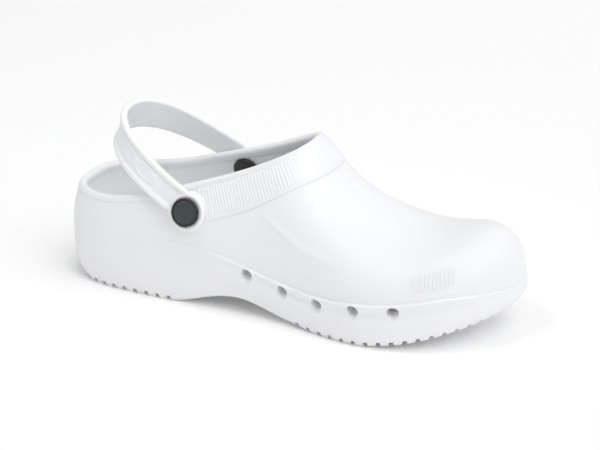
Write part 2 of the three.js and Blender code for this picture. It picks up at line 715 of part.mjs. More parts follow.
function strapRing(t) {
  const step = 0.002;
  const backLean = THREE.MathUtils.degToRad(STRAP_BACK_LEAN);
  const centre = strapStation(t);
  const run = strapStation(Math.min(1, t + step)).sub(strapStation(Math.max(-1, t - step))).normalize();
  const outBack = strapUpright.clone().cross(run).normalize();
  outBack.multiplyScalar(Math.cos(backLean)).addScaledVector(strapUpright, Math.sin(backLean));
  const end = t < 0 ? rivets[0] : rivets[1];
  const out = outBack.lerp(end.axis, THREE.MathUtils.smoothstep(Math.abs(t), 0.1, STRAP_FLAT_FROM));
  out.addScaledVector(run, -out.dot(run)).normalize();
  const wide = out.clone().cross(run).normalize();
  const half = THREE.MathUtils.lerp(STRAP_BACK_WIDTH, STRAP_END_WIDTH, t * t) / 2;
  const thick = STRAP_THICKNESS / 2;
  const rim = half - STRAP_BORDER;
  const floor = rim - STRAP_RECESS / 2;
  const section = [
    [-half + STRAP_EDGE_ROUND, -thick],
    [half - STRAP_EDGE_ROUND, -thick],
    [half, -thick + STRAP_EDGE_ROUND],
    [half, thick - STRAP_EDGE_ROUND],
    [half - STRAP_EDGE_ROUND, thick],
    [rim, thick],
    [floor, thick - STRAP_RECESS],
    [-floor, thick - STRAP_RECESS],
    [-rim, thick],
    [-half + STRAP_EDGE_ROUND, thick],
    [-half, thick - STRAP_EDGE_ROUND],
    [-half, -thick + STRAP_EDGE_ROUND],
  ];
  return section.map(([w, o]) => centre.clone().addScaledVector(wide, w).addScaledVector(out, o));
}

function makeStrap() {
  const rings = [];
  for (let k = 0; k <= STRAP_STEPS; k += 1) {
    rings.push(strapRing((2 * k) / STRAP_STEPS - 1));
  }
  const closing = (ring, at) => ring.map(() => at.clone());
  rings.unshift(closing(rings[0], strapStation(-1)));
  rings.push(closing(rings[0], strapStation(1)));
  let strap = solidOf(skinOf(rings));
  rivets.forEach(({ seat, axis }) => {
    strap = strap.add(rod(seat, axis, GAP, GAP + EYE_THICKNESS, EYE_DIAMETER, ROUND_STEPS));
  });
  rivets.forEach(({ seat, axis }) => {
    strap = strap.subtract(rod(seat, axis, -WALL, 2 * EYE_THICKNESS, SHANK_DIAMETER + 2 * GAP, ROUND_STEPS));
  });
  return geometryOf(strap);
}

// Rivets: a cap with its shank, an inlay in the cap, and a button inside the collar that grips the shank

function turned(profile) {
  return new THREE.LatheGeometry(profile.map(([radius, along]) => new THREE.Vector2(radius, along)), ROUND_STEPS);
}

const capSeat = EYE_THICKNESS + 2 * GAP;
const buttonSeat = -BOSS_WALL - GAP;

function rivetPost() {
  const cap = CAP_DIAMETER / 2;
  const recess = BADGE_DIAMETER / 2 + GAP;
  const shank = SHANK_DIAMETER / 2;
  const face = capSeat + CAP_THICKNESS;
  return turned([
    [0, buttonSeat - SHANK_GRIP],
    [shank, buttonSeat - SHANK_GRIP],
    [shank, capSeat],
    [cap, capSeat],
    [cap, face - CAP_ROUND],
    [cap - CAP_ROUND / 3, face - CAP_ROUND / 3],
    [recess + GAP, face],
    [recess, face],
    [recess, face - BADGE_THICKNESS - GAP],
    [0, face - BADGE_THICKNESS - GAP],
  ]);
}

function rivetBadge() {
  const face = capSeat + CAP_THICKNESS;
  return turned([
    [0, face - BADGE_THICKNESS],
    [BADGE_DIAMETER / 2, face - BADGE_THICKNESS],
    [BADGE_DIAMETER / 2, face],
    [0, face],
  ]);
}

function rivetButton() {
  const socket = SHANK_DIAMETER / 2 + GAP;
  const rim = BUTTON_DIAMETER / 2;
  const face = buttonSeat - BUTTON_THICKNESS;
  return turned([
    [0, face],
    [rim - CAP_ROUND, face],
    [rim, face + CAP_ROUND],
    [rim, buttonSeat],
    [socket, buttonSeat],
    [socket, buttonSeat - SHANK_GRIP - GAP],
    [0, buttonSeat - SHANK_GRIP - GAP],
  ]);
}

function piece(name, geometry, finish) {
  const mesh = new THREE.Mesh(geometry, new THREE.MeshStandardMaterial(finish));
  mesh.name = name;
  return mesh;
}

const clog = new THREE.Group();
clog.add(piece("moulded_body", makeBody(), WHITE_FOAM));
clog.add(piece("insole", makeInsole(), INSOLE_FOAM));
clog.add(piece("heel_strap", makeStrap(), WHITE_FOAM));
rivets.forEach(({ side, seat, axis }) => {
  const rivet = new THREE.Group();
  rivet.position.copy(seat);
  rivet.quaternion.setFromUnitVectors(new THREE.Vector3(0, 1, 0), axis);
  rivet.add(piece(`rivet_post_${side}`, rivetPost(), BLACK_PLASTIC));
  rivet.add(piece(`rivet_badge_${side}`, rivetBadge(), BADGE_PRINT));
  rivet.add(piece(`rivet_button_${side}`, rivetButton(), BLACK_PLASTIC));
  clog.add(rivet);
});

// The origin is under the middle of the clog, on the floor
const reach = new THREE.Box3().setFromObject(clog, true);
clog.position.set(-middle(reach.min.x, reach.max.x), -middle(reach.min.y, reach.max.y), -reach.min.z);

export default clog;
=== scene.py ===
# A white moulded foam work clog for a right foot, with its heel strap raised, on a plain pale studio floor.
# The row frame is in metres, toe towards +X and the inner side of the foot towards +Y. Sizes here are in
# millimetres, and mesh_piece turns them into metres.
import math
import bmesh
import bpy
import numpy as np
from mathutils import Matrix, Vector
from mathutils.bvhtree import BVHTree


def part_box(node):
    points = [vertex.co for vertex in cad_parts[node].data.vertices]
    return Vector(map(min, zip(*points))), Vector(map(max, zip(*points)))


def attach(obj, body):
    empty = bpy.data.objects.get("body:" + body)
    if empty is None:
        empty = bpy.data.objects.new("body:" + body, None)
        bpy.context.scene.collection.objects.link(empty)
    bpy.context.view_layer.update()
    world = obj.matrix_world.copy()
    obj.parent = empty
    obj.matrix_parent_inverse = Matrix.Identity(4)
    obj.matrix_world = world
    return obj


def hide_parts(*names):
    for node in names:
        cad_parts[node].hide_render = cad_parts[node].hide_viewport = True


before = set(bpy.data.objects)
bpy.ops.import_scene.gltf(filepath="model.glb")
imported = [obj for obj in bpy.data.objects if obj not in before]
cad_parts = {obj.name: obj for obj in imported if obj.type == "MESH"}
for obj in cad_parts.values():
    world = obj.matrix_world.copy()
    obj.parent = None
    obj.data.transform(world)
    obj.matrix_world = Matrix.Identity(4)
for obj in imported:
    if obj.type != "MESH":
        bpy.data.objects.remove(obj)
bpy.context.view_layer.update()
MM = 0.001
scene = bpy.context.scene


# Studio: a wide pale floor under an even white sky, one broad light from above the toe, and weak softboxes at
# the toe, behind the clog and over its opening. Nothing here is part of the clog.

CAMERA_AZIMUTH = 22.92
CAMERA_ELEVATION = 22.23
CAMERA_DISTANCE = 1100
CAMERA_TARGET = (0, 3.67, 45)
FOCAL_PIXELS = 1813.2
FRAME_WIDTH = 600
FRAME_HEIGHT = 450
CENTRE_PIXEL = (295.13, 225.75)  # where the optical axis meets the photo
SENSOR_WIDTH = 36
FLOOR_SIZE = 12000
FLOOR_DROP = 0.02  # below the tread, so that the two planes don't coincide
SKY_LIGHT = 0.56
FLOOR_GLOW = 0.04


def aim(thing, place, target):
    thing.location = place
    thing.rotation_euler = (Vector(target) - Vector(place)).to_track_quat("-Z", "Y").to_euler()


camera = bpy.data.objects.new("camera", bpy.data.cameras.new("camera"))
scene.collection.objects.link(camera)
scene.camera = camera
azimuth, elevation = math.radians(CAMERA_AZIMUTH), math.radians(CAMERA_ELEVATION)
camera_back = Vector((
    math.sin(azimuth) * math.cos(elevation),
    -math.cos(azimuth) * math.cos(elevation),
    math.sin(elevation),
))
look_at = Vector(CAMERA_TARGET) * MM
aim(camera, look_at + camera_back * CAMERA_DISTANCE * MM, look_at)
camera.data.sensor_width = SENSOR_WIDTH
camera.data.lens = camera.data.sensor_width * FOCAL_PIXELS / FRAME_WIDTH
camera.data.shift_x = (FRAME_WIDTH / 2 - CENTRE_PIXEL[0]) / FRAME_WIDTH
camera.data.shift_y = (CENTRE_PIXEL[1] - FRAME_HEIGHT / 2) / FRAME_WIDTH

scene.view_settings.view_transform = "Standard"
scene.world = bpy.data.worlds.new("sky")
scene.world.use_nodes = True
sky = scene.world.node_tree.nodes["Background"]
sky.inputs["Color"].default_value = (0.99, 0.993, 1, 1)
sky.inputs["Strength"].default_value = SKY_LIGHT

SOFTBOXES = {
    "key_sun": {"kind": "SUN", "at": (0.85, -0.24, 1.2), "energy": 1.16, "angle": 60},
    "toe_box_light": {"kind": "AREA", "at": (0.9, -0.6, 0.75), "energy": 0.27, "size": 0.5},
    "back_light": {"kind": "AREA", "at": (0.1, 0.9, 0.9), "energy": 0.75, "size": 0.6},
    "opening_light": {"kind": "AREA", "at": (-0.05, -0.12, 0.5), "energy": 0.33, "size": 0.12},
}
for name, box in SOFTBOXES.items():
    light = bpy.data.objects.new(name, bpy.data.lights.new(name, box["kind"]))
    light.data.energy = box["energy"]
    if box["kind"] == "SUN":
        light.data.angle = math.radians(box["angle"])
    else:
        light.data.size = box["size"]
    aim(light, box["at"], look_at)
    scene.collection.objects.link(light)


class Wire:
    """An output in a finish's nodes. Arithmetic on wires adds the Math nodes that work it out."""

    def __init__(self, finish, socket):
        self.finish = finish
        self.socket = socket

    def worked(self, operation, first, second):
        return self.finish.node("ShaderNodeMath", {"operation": operation}, {0: first, 1: second})

    def __add__(self, other):
        return self.worked("ADD", self, other)

    def __radd__(self, other):
        return self.worked("ADD", other, self)

    def __sub__(self, other):
        return self.worked("SUBTRACT", self, other)

    def __rsub__(self, other):
        return self.worked("SUBTRACT", other, self)

    def __mul__(self, other):
        return self.worked("MULTIPLY", self, other)

    def __rmul__(self, other):
        return self.worked("MULTIPLY", other, self)


class Finish:
    """A material: a shader with its constant sockets, and the nodes that vary it over the surface."""

    def __init__(self, name, **constants):
        self.material = bpy.data.materials.new(name)
        self.material.use_nodes = True
        self.tree = self.material.node_tree
        self.shader = self.tree.nodes["Principled BSDF"]
        for socket, value in constants.items():
            self.shader.inputs[socket.replace("_", " ")].default_value = value

    def node(self, kind, settings=None, inputs=None, output=0):
        made = self.tree.nodes.new(kind)
        for name, value in (settings or {}).items():
            setattr(made, name, value)
        for name, value in (inputs or {}).items():
            self.join(value, made.inputs[name])
        return Wire(self, made.outputs[output])

    def join(self, value, socket):
        if isinstance(value, Wire):
            self.tree.links.new(value.socket, socket)
        else:
            socket.default_value = value

    def feed(self, name, wire):
        self.join(wire, self.shader.inputs[name])

    def place(self):
        return self.node("ShaderNodeTexCoord", output="Object")

    def noise(self, size, detail=3):
        """Smooth noise from 0 to 1 whose blotches are about size millimetres."""
        inputs = {"Vector": self.place(), "Scale": 1 / (size * MM), "Detail": detail}
        return self.node("ShaderNodeTexNoise", None, inputs)

    def blend(self, share, low, high):
        """A colour between two, by a share from 0 to 1."""
        inputs = {"Factor": share, 6: low, 7: high}
        return self.node("ShaderNodeMix", {"data_type": "RGBA"}, inputs, 2)

    def bump(self, height, depth):
        """Relief in the surface's light, depth in millimetres."""
        inputs = {"Height": height, "Strength": 1, "Distance": depth * MM}
        self.feed("Normal", self.node("ShaderNodeBump", None, inputs))


floor_finish = Finish(
    "studio_floor",
    Roughness=0.9,
    Specular_IOR_Level=0,
    Emission_Color=(1, 1, 1, 1),
    Emission_Strength=FLOOR_GLOW,
)
floor_tint = floor_finish.noise(900)
floor_finish.feed("Base Color", floor_finish.blend(floor_tint, (0.98, 0.98, 0.985, 1), (1, 1, 1, 1)))
floor_mesh = bpy.data.meshes.new("studio_floor")
edge, level = FLOOR_SIZE * MM / 2, -FLOOR_DROP * MM
corners = [(-edge, -edge, level), (edge, -edge, level), (edge, edge, level), (-edge, edge, level)]
floor_mesh.from_pydata(corners, [], [(0, 1, 2, 3)])
floor_mesh.materials.append(floor_finish.material)
floor = bpy.data.objects.new("studio_floor", floor_mesh)
scene.collection.objects.link(floor)


# Moulded body: one piece of white foam with sole, side wall, upper and footbed in one skin, as it leaves its
# mould. Its skin is a set of rings round the plan outline: under the sole, up the side, over the upper to the
# collar, and back down inside to the footbed.

body_low, body_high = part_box("moulded_body")
LENGTH = (body_high.x - body_low.x) / MM
BALL_WIDTH = (body_high.y - body_low.y) / MM
INSTEP_HEIGHT = 103.5
THROAT_AT = 157
HEEL_COLLAR_HEIGHT = 62
SIDE_HEIGHT = 27
TOE_SPRING = 16
ARCH_RISE = 9.4
SEAT_HEIGHT = 25
CUP_RISE = 6
WALL = 4.5
SIDE_WALL = 8
LEDGE = 2
LEDGE_ROUND = 0.9
TUCK = 4.5
SIDE_HOLLOW = 1.3
LUG_DEPTH = 2.6
LUG_LENGTH = 7
LUG_ROUND = 0.7
LIP_ROOM = 1.5  # how far the plain skin stays below the lip's top
REAR_COLUMNS = 150
FRONT_COLUMNS = 96
REAR_EASE = 1.6  # how much closer the columns stand towards the throat
OUTLINE_STEPS = 60  # between two guide points
THROAT_TRIES = 4001
RIM_TRIES = 700
RIM_LEAD = 1.3  # how far past the rim the lines up the wall first aim
RIM_TURN = 4  # how late they turn back to it
SIDE_RINGS = 16
HOLLOW_RINGS = 14
UPPER_RINGS = 76
LINING_RINGS = 34

OUTLINE = [  # the plan outline's guide points, as shares of the length and of the ball's width
    (0.0, -0.02), (0.0, -0.22), (0.06, -0.35), (0.16, -0.395), (0.3, -0.41), (0.44, -0.4), (0.57, -0.46),
    (0.7, -0.575), (0.83, -0.515), (0.94, -0.325), (1.0, -0.09), (1.01, 0.125), (0.965, 0.3), (0.86, 0.455),
    (0.73, 0.49), (0.6, 0.455), (0.46, 0.39), (0.3, 0.365), (0.16, 0.375), (0.06, 0.345), (0.0, 0.2),
]
TREAD = {
    "at": [
        0, 0.06, 0.15, 0.26, 0.3, 0.34, 0.385, 0.425, 0.46, 0.5, 0.55, 0.6, 0.64, 0.7, 0.75, 0.82, 0.9, 1,
    ],
    "arch": [
        0.12, -0.02, -0.02, -0.03, 0.16, 0.52, 0.88, 1, 0.86, 0.54, 0.23, 0.03, -0.03, -0.02, -0.01, 0, 0, 0,
    ],
    "spring": [0, 0, 0, 0, 0, 0, 0, 0, 0, 0, 0, 0, -0.02, -0.02, 0.06, 0.24, 0.57, 1.06],
}
SIDE = {
    "at": [0, 0.06, 0.15, 0.3, 0.4, 0.48, 0.54, 0.6, 0.7, 0.8, 0.9, 1],
    "belly": [0.86, 0.88, 0.92, 0.96, 0.95, 0.84, 0.72, 0.62, 0.6, 0.66, 0.84, 1.02],
    "ledge": [1.26, 1.33, 1.44, 1.52, 1.34, 1.12, 1, 0.94, 1, 1.1, 1.24, 1.2],
    "hollow": [0, 0, 0, 0, 0.2, 0.6, 1, 1, 1, 1, 0.6, 0],
    "step": [0, 0, 0, 0.12, 0.4, 0.8, 1, 1, 1, 1, 0.8, 0.5],
    "tuck": [1.3, 1.1, 1, 0.9, 0.9, 0.9, 0.9, 0.9, 0.9, 1, 1.2, 1.4],
    "seat": [1.06, 1, 0.97, 1, 1.02, 0.96, 0.84, 0.7, 0.6, 0.6, 0.72, 0.95],
}
UPPER = {
    "at": [0, 0.06, 0.15, 0.3, 0.4, 0.48, 0.545, 0.6, 0.7, 0.8, 0.9, 1],
    "crest": [0.965, 1, 1.085, 1.195, 1.205, 1.115, 1, 0.82, 0.617, 0.552, 0.6, 0.69],
    "across": [0, 0, 0, 0.01, 0.02, 0.03, 0.035, 0.045, 0.06, 0.07, 0.08, 0.08],
    "square": [1.33, 1.3, 1.15, 0.95, 1.05, 1.55, 1.9, 2.05, 2.4, 2.7, 2.7, 2.8],
}
COLLAR = {
    "at": [0, 0.26, 0.385, 0.605, 0.77, 1],
    "rise": [0, 0.005, 0.115, 0.39, 0.61, 1],
}
CREST_MAP = {
    "at": [0, 0.1, 0.25, 0.5, 0.75, 0.9, 1],
    "along": [0.13, 0.165, 0.26, 0.5, 0.735, 0.825, 0.85],
}

SOFT_LINES = [  # the vamp's style line and the toe box's crease, as places along the foot and heights
    {
        "points": [(-8, 66.4), (0.5, 62.1), (11, 56.4), (23.5, 50.1), (35, 47.1), (50, 45.5)],
        "raise": 0.7,
        "width": 1.9,
    },
    {
        "points": [(90, 47), (98, 49.5), (107.5, 53.1), (114, 55.7), (124, 59.5)],
        "raise": 1.0,
        "width": 2.6,
    },
]
SOFT_LINE_WALL = 0.1  # how far outwards a surface has to face to carry them


def curve(table, column):
    """A natural cubic through one column of a table."""
    x, y = np.array(table["at"], float), np.array(table[column], float)
    span = np.diff(x)
    rows, turn = np.eye(len(x)), np.zeros(len(x))
    for i in range(1, len(x) - 1):
        rows[i, i - 1:i + 2] = span[i - 1], 2 * (span[i - 1] + span[i]), span[i]
        turn[i] = 6 * ((y[i + 1] - y[i]) / span[i] - (y[i] - y[i - 1]) / span[i - 1])
    bend = np.linalg.solve(rows, turn)

    def at(place):
        place = np.clip(place, x[0], x[-1])
        i = np.clip(np.searchsorted(x, place) - 1, 0, len(x) - 2)
        left, right = place - x[i], x[i + 1] - place
        cubic = (bend[i] * right**3 + bend[i + 1] * left**3) / (6 * span[i])
        straight = (y[i] / span[i] - bend[i] * span[i] / 6) * right
        return cubic + straight + (y[i + 1] / span[i] - bend[i + 1] * span[i] / 6) * left

    return at


def share(x):
    return np.clip(x / LENGTH, 0, 1)


tread_arch, tread_spring = curve(TREAD, "arch"), curve(TREAD, "spring")
side_curves = {name: curve(SIDE, name) for name in SIDE if name != "at"}
upper_curves = {name: curve(UPPER, name) for name in UPPER if name != "at"}
collar_rise, crest_along = curve(COLLAR, "rise"), curve(CREST_MAP, "along")


def tread_height(x):
    arch = ARCH_RISE * np.maximum(tread_arch(share(x)), 0)
    return arch + TOE_SPRING * np.maximum(tread_spring(share(x)), 0)


def floor_height(x):
    return tread_height(x) + LUG_DEPTH


def collar_height(x):
    return HEEL_COLLAR_HEIGHT + (INSTEP_HEIGHT - HEEL_COLLAR_HEIGHT) * collar_rise(x / THROAT_AT)


def plot_outline():
    """The closed B-spline outline, as a lateral and a medial edge from the heel's back to the toe's tip."""
    guide = np.array(OUTLINE)
    t = np.arange(OUTLINE_STEPS)[:, None] / OUTLINE_STEPS
    loop = []
    for i in range(len(guide)):
        a, b, c, d = (guide[(i + k) % len(guide)] for k in range(4))
        loop.append(((1 - t) ** 3 * a + (3 * t**3 - 6 * t * t + 4) * b
                     + (-3 * t**3 + 3 * t * t + 3 * t + 1) * c + t**3 * d) / 6)
    loop = np.vstack(loop)
    loop[:, 0] = (loop[:, 0] - loop[:, 0].min()) * LENGTH / np.ptp(loop[:, 0])
    loop[:, 1] *= BALL_WIDTH / np.ptp(loop[:, 1])
    loop = np.roll(loop, -np.argmin(loop[:, 0]), axis=0)
    tip = np.argmax(loop[:, 0])
    return {"lateral": loop[:tip + 1], "medial": np.vstack([loop[tip:], loop[:1]])[::-1]}


edges = plot_outline()
ROW_SHIFT = np.array([body_low.x / MM, body_low.y / MM - edges["lateral"][:, 1].min(), 0])


def edge_across(side, x):
    return np.interp(x, edges[side][:, 0], edges[side][:, 1])


class Plan:
    """Columns of the skin round the outline, in pairs that face each other and meet on the crest."""

    def __init__(self, throat_at, rear, front):
        turns = np.linspace(0, math.pi, THROAT_TRIES)
        throat = np.interp(throat_at, crest_along((1 - np.cos(turns)) / 2) * LENGTH, turns)
        behind = throat * (1 - (1 - np.arange(rear + 1) / rear) ** REAR_EASE)
        ahead = throat + (math.pi - throat) * np.arange(1, front + 1) / front
        along = LENGTH * (1 - np.cos(np.concatenate([behind, ahead]))) / 2
        half = rear + front
        self.pair = np.concatenate([np.arange(half + 1), np.arange(half - 1, 0, -1)])
        self.x = along[self.pair]
        self.lateral = np.arange(2 * half) <= half
        self.y = np.where(self.lateral, edge_across("lateral", self.x), edge_across("medial", self.x))
        self.behind_throat = self.pair < rear
        at = np.column_stack([self.x, self.y])
        run = np.roll(at, -1, axis=0) - np.roll(at, 1, axis=0)
        run /= np.linalg.norm(run, axis=1)[:, None]
        self.out = np.column_stack([run[:, 1], -run[:, 0]])
        crest = crest_along(share(self.x))
        self.crest = np.column_stack([crest * LENGTH, upper_curves["across"](crest) * BALL_WIDTH])
        self.side = {name: of(share(self.x)) for name, of in side_curves.items()}
        self.ledge_depth = LEDGE * np.maximum(self.side["step"], 0)
        self.tuck = TUCK * self.side["tuck"]
        self.ledge = SIDE_HEIGHT * self.side["ledge"]
        self.belly = SIDE_HEIGHT * self.side["belly"]

    def inward(self, depth):
        return np.column_stack([self.x, self.y]) - self.out * np.reshape(depth, (-1, 1))

    def upper(self, angle, depth=0.0):
        """Points of the upper: angle 0 is at the ledge, a quarter turn at the crest."""
        foot = self.inward(self.ledge_depth + depth)
        reach = np.clip(np.cos(angle), 0, None) ** (2 / upper_curves["square"](share(self.x)))
        flat = self.crest + reach[:, None] * (foot - self.crest)
        top = INSTEP_HEIGHT * upper_curves["crest"](share(flat[:, 0])) - depth
        return np.column_stack([flat, self.ledge + (top - self.ledge) * np.sin(angle)])

    def rim(self, throat_at, drop):
        """The angle at which each column behind the throat meets the collar's line."""
        angles = np.linspace(0.01, math.pi / 2, RIM_TRIES)
        over = []
        for angle in angles:
            p = self.upper(np.full(len(self.x), angle))
            line = collar_height(p[:, 0] * THROAT_AT / throat_at) - drop
            over.append(np.where(p[:, 0] < throat_at, p[:, 2] - line, -1))
        over = np.array(over)
        first = np.argmax(over > 0, axis=0)
        found = (over > 0).any(axis=0) & self.behind_throat
        columns = np.arange(len(self.x))
        low, high = over[np.maximum(first - 1, 0), columns], over[first, columns]
        step = angles[1] - angles[0]
        met = angles[np.maximum(first - 1, 0)] + step * np.clip(-low / (high - low + 1e-9), 0, 1)
        return np.where(found, met, math.pi / 2)

    def wall_ring(self, depth, height):
        return np.column_stack([self.inward(np.zeros(len(self.x)) + depth), np.zeros(len(self.x)) + height])

    def bed_ring(self, reach, depth, height_at):
        edge_line = self.inward(np.zeros(len(self.x)) + depth)
        flat = self.crest + reach * (edge_line - self.crest)
        return np.column_stack([flat, height_at(flat[:, 0], reach)])


def bed_height(x, reach):
    return SEAT_HEIGHT * side_curves["seat"](share(x)) + CUP_RISE * reach**3


def climb(rim, part):
    """The angle at a part of the way up to the rim."""
    full = np.minimum(math.pi / 2, rim * RIM_LEAD)
    return full * part - (full - rim) * part**RIM_TURN


def body_rings(plan, rim):
    """All rings of the body's skin, and which of them is the last one outside."""
    tread = tread_height(plan.x)
    lug_foot = plan.tuck + LUG_LENGTH
    rings = []
    for reach in (0, 0.35, 0.7, 0.97, 1):
        rings.append(plan.bed_ring(reach, lug_foot, lambda x, _: floor_height(x)))
    rings.append(plan.bed_ring(1, lug_foot - 0.1, lambda x, _: tread_height(x) + LUG_ROUND / 2))
    rings.append(plan.bed_ring(1, lug_foot - LUG_ROUND, lambda x, _: tread_height(x)))
    rings.append(plan.wall_ring((lug_foot + plan.tuck) / 2, tread))
    rings.append(plan.wall_ring(plan.tuck + LUG_ROUND, tread))
    for rise in np.linspace(0.05, 1, SIDE_RINGS):
        depth = plan.tuck * (1 - rise) ** 2 + LUG_ROUND * max(0, 1 - rise * 12) * 0.4
        rings.append(plan.wall_ring(depth, tread + (plan.belly - tread) * rise))
    crown = plan.ledge - LEDGE_ROUND
    hollow = SIDE_HOLLOW * np.maximum(plan.side["hollow"], 0)
    for rise in np.linspace(0.08, 1, HOLLOW_RINGS):
        depth = hollow * np.sin(math.pi * rise) ** 1.4
        rings.append(plan.wall_ring(depth, plan.belly + (crown - plan.belly) * rise))
    stepped = np.minimum(LEDGE_ROUND, plan.ledge_depth * 0.6)
    for turn in np.radians((25, 50, 75, 90)):
        rings.append(plan.wall_ring(stepped * (1 - np.cos(turn)), crown + LEDGE_ROUND * np.sin(turn)))
    rings += [plan.upper(climb(rim, part)) for part in np.linspace(0, 1, UPPER_RINGS)]
    last_outside = len(rings) - 1
    rings += [plan.upper(climb(rim, part), WALL) for part in np.linspace(1, 0, LINING_RINGS)]
    rings += [plan.bed_ring(reach, SIDE_WALL, bed_height) for reach in (1, 0.9, 0.78, 0.6, 0.4, 0.2, 0)]
    return np.array(rings), last_outside


def ring_faces(rings, skipped_strip=None, skipped_columns=None):
    """Triangles between rings of as many points, by each square's shorter diagonal."""
    rows, count = rings.shape[:2]
    index = np.arange(rows * count).reshape(rows, count)
    a, b = index[:-1], np.roll(index, -1, axis=1)[:-1]
    d, c = index[1:], np.roll(index, -1, axis=1)[1:]
    keep = np.ones(a.shape, bool)
    if skipped_strip is not None:
        keep[skipped_strip] = ~skipped_columns
    a, b, c, d = (corner[keep] for corner in (a, b, c, d))
    flat = rings.reshape(-1, 3)
    short = np.linalg.norm(flat[a] - flat[c], axis=1) < np.linalg.norm(flat[b] - flat[d], axis=1)
    first = np.where(short[:, None], np.column_stack([a, b, c]), np.column_stack([a, b, d]))
    second = np.where(short[:, None], np.column_stack([a, c, d]), np.column_stack([b, c, d]))
    return np.vstack([first, second])


def weld(points, faces):
    """Joins points that coincide and drops the triangles that this closes up."""
    _, keep, back = np.unique(np.round(points, 3), axis=0, return_index=True, return_inverse=True)
    faces = back.reshape(-1)[faces]
    whole = (faces[:, 0] != faces[:, 1]) & (faces[:, 1] != faces[:, 2]) & (faces[:, 2] != faces[:, 0])
    return points[keep], faces[whole]


def point_normals(points, faces):
    """The way out at each point, from the triangles round it."""
    a, b, c = (points[faces[:, k]] for k in range(3))
    flat = np.cross(b - a, c - a)
    normals = np.zeros_like(points)
    for k in range(3):
        np.add.at(normals, faces[:, k], flat)
    return normals / np.maximum(np.linalg.norm(normals, axis=1), 1e-9)[:, None]


def soft_line(points, line):
    """How far a soft ridge along a line lifts each point; it fades towards both of its ends."""
    knots = np.array(line["points"], float)
    flat = points[:, [0, 2]]
    nearest, place = np.full(len(flat), 1e9), np.zeros(len(flat))
    for i, (start, end) in enumerate(zip(knots[:-1], knots[1:])):
        run = end - start
        t = np.clip((flat - start) @ run / (run @ run), 0, 1)
        gap = np.linalg.norm(flat - start - t[:, None] * run, axis=1)
        closer = gap < nearest
        nearest[closer], place[closer] = gap[closer], (i + t[closer]) / (len(knots) - 1)
    fade = np.sin(math.pi * np.clip(place, 0.02, 0.98)) ** 0.7
    return line["raise"] * np.exp(-(nearest / line["width"]) ** 2) * fade


def mesh_piece(name, points, faces, finish, sharp=32):
    """A closed piece from points in millimetres; edges sharper than an angle stay crisp."""
    mesh = bpy.data.meshes.new(name)
    mesh.from_pydata((np.asarray(points) * MM).tolist(), [], [list(map(int, face)) for face in faces])
    form = bmesh.new()
    form.from_mesh(mesh)
    bmesh.ops.recalc_face_normals(form, faces=form.faces)
    form.to_mesh(mesh)
    form.free()
    piece = bpy.data.objects.new(name, mesh)
    scene.collection.objects.link(piece)
    dress(piece, finish, sharp)
    return piece


def dress(piece, finish, sharp=32):
    """Gives a piece its finish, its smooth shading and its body."""
    piece.data.materials.clear()
    piece.data.materials.append(finish.material)
    piece.data.shade_smooth()
    piece.data.set_sharp_from_angle(angle=math.radians(sharp))
    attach(piece, "root")


white_foam = Finish(
    "white_foam",
    Specular_IOR_Level=0.35,
    Subsurface_Weight=0.25,
    Subsurface_Scale=6 * MM,
    Subsurface_Radius=(0.4, 0.4, 0.4),
)
foam_clouds = white_foam.noise(38)
foam_pores = white_foam.noise(0.9, 5) + 0.6 * white_foam.noise(3.2)
white_foam.feed("Base Color", white_foam.blend(foam_clouds, (0.885, 0.888, 0.897, 1), (0.9, 0.902, 0.91, 1)))
white_foam.feed("Roughness", 0.38 + 0.1 * white_foam.noise(6))
white_foam.bump(foam_pores, 0.05)

plan = Plan(THROAT_AT + LIP_ROOM, REAR_COLUMNS, FRONT_COLUMNS)
rim = plan.rim(THROAT_AT + LIP_ROOM, LIP_ROOM)
rings, rim_strip = body_rings(plan, rim)
no_edge = ~plan.behind_throat & ~np.roll(plan.behind_throat, -1)
points, faces = weld(rings.reshape(-1, 3) + ROW_SHIFT, ring_faces(rings, rim_strip, no_edge))
outward = point_normals(points, faces)
for line in SOFT_LINES:
    lift = soft_line(points, line) * (np.abs(outward[:, 1]) > SOFT_LINE_WALL)
    points = points + outward * lift[:, None]
body = mesh_piece("moulded_body_skin", points, faces, white_foam)
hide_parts("moulded_body")


# Vents and tread notches: short steel pins and blades of the mould leave them in the foam. Each vent has a
# flared mouth in the trough of the side wall. The notches part the lugs along the sole's edge, under the heel
# and under the forefoot.

VENT_PROFILE = [  # along and radius, from outside the wall inwards
    (-6, 6.4), (-0.4, 4.9), (0.4, 4.15), (0.9, 3.8), (1.4, 3.55), (2.2, 3.4), (3.2, 3.35), (14, 3.3),
]
VENT_PITCH = 24.2
VENT_COUNT = 5
FIRST_VENT = 130.5
VENT_DROP = 4.8
VENT_CLIMB = 15
LUG_PITCH = 8
NOTCH_WIDTH = 3.3
NOTCH_HEIGHT = 3.0
NOTCH_TAPER = 0.7  # a notch's width at its top, as a share of that at its foot
NOTCH_PAST = (2, 1)  # how far a notch runs past the lugs, outside and inside
HEEL_TREAD_END = 84
BALL_TREAD_START = 162
ROUND_STEPS = 48


def edge_point(side, x):
    """A place on the outline's inner stretches and the way out from it."""
    step = 0.5
    slope = (edge_across(side, x + step) - edge_across(side, x - step)) / (2 * step)
    outward = -1 if side == "lateral" else 1
    return np.array([x, edge_across(side, x)]), outward * np.array([-slope, 1]) / math.hypot(slope, 1)


def lathe_rings(profile, origin, axis, steps=ROUND_STEPS):
    """Rings of a turned form: its profile lists distance along the axis and radius."""
    axis = np.asarray(axis) / np.linalg.norm(axis)
    side = np.cross(axis, (0, 0, 1))
    side /= np.linalg.norm(side)
    other = np.cross(axis, side)
    turns = np.linspace(0, 2 * math.pi, steps, endpoint=False)
    round_way = np.cos(turns)[:, None] * side + np.sin(turns)[:, None] * other
    return np.array([np.asarray(origin) + axis * along + round_way * radius for along, radius in profile])


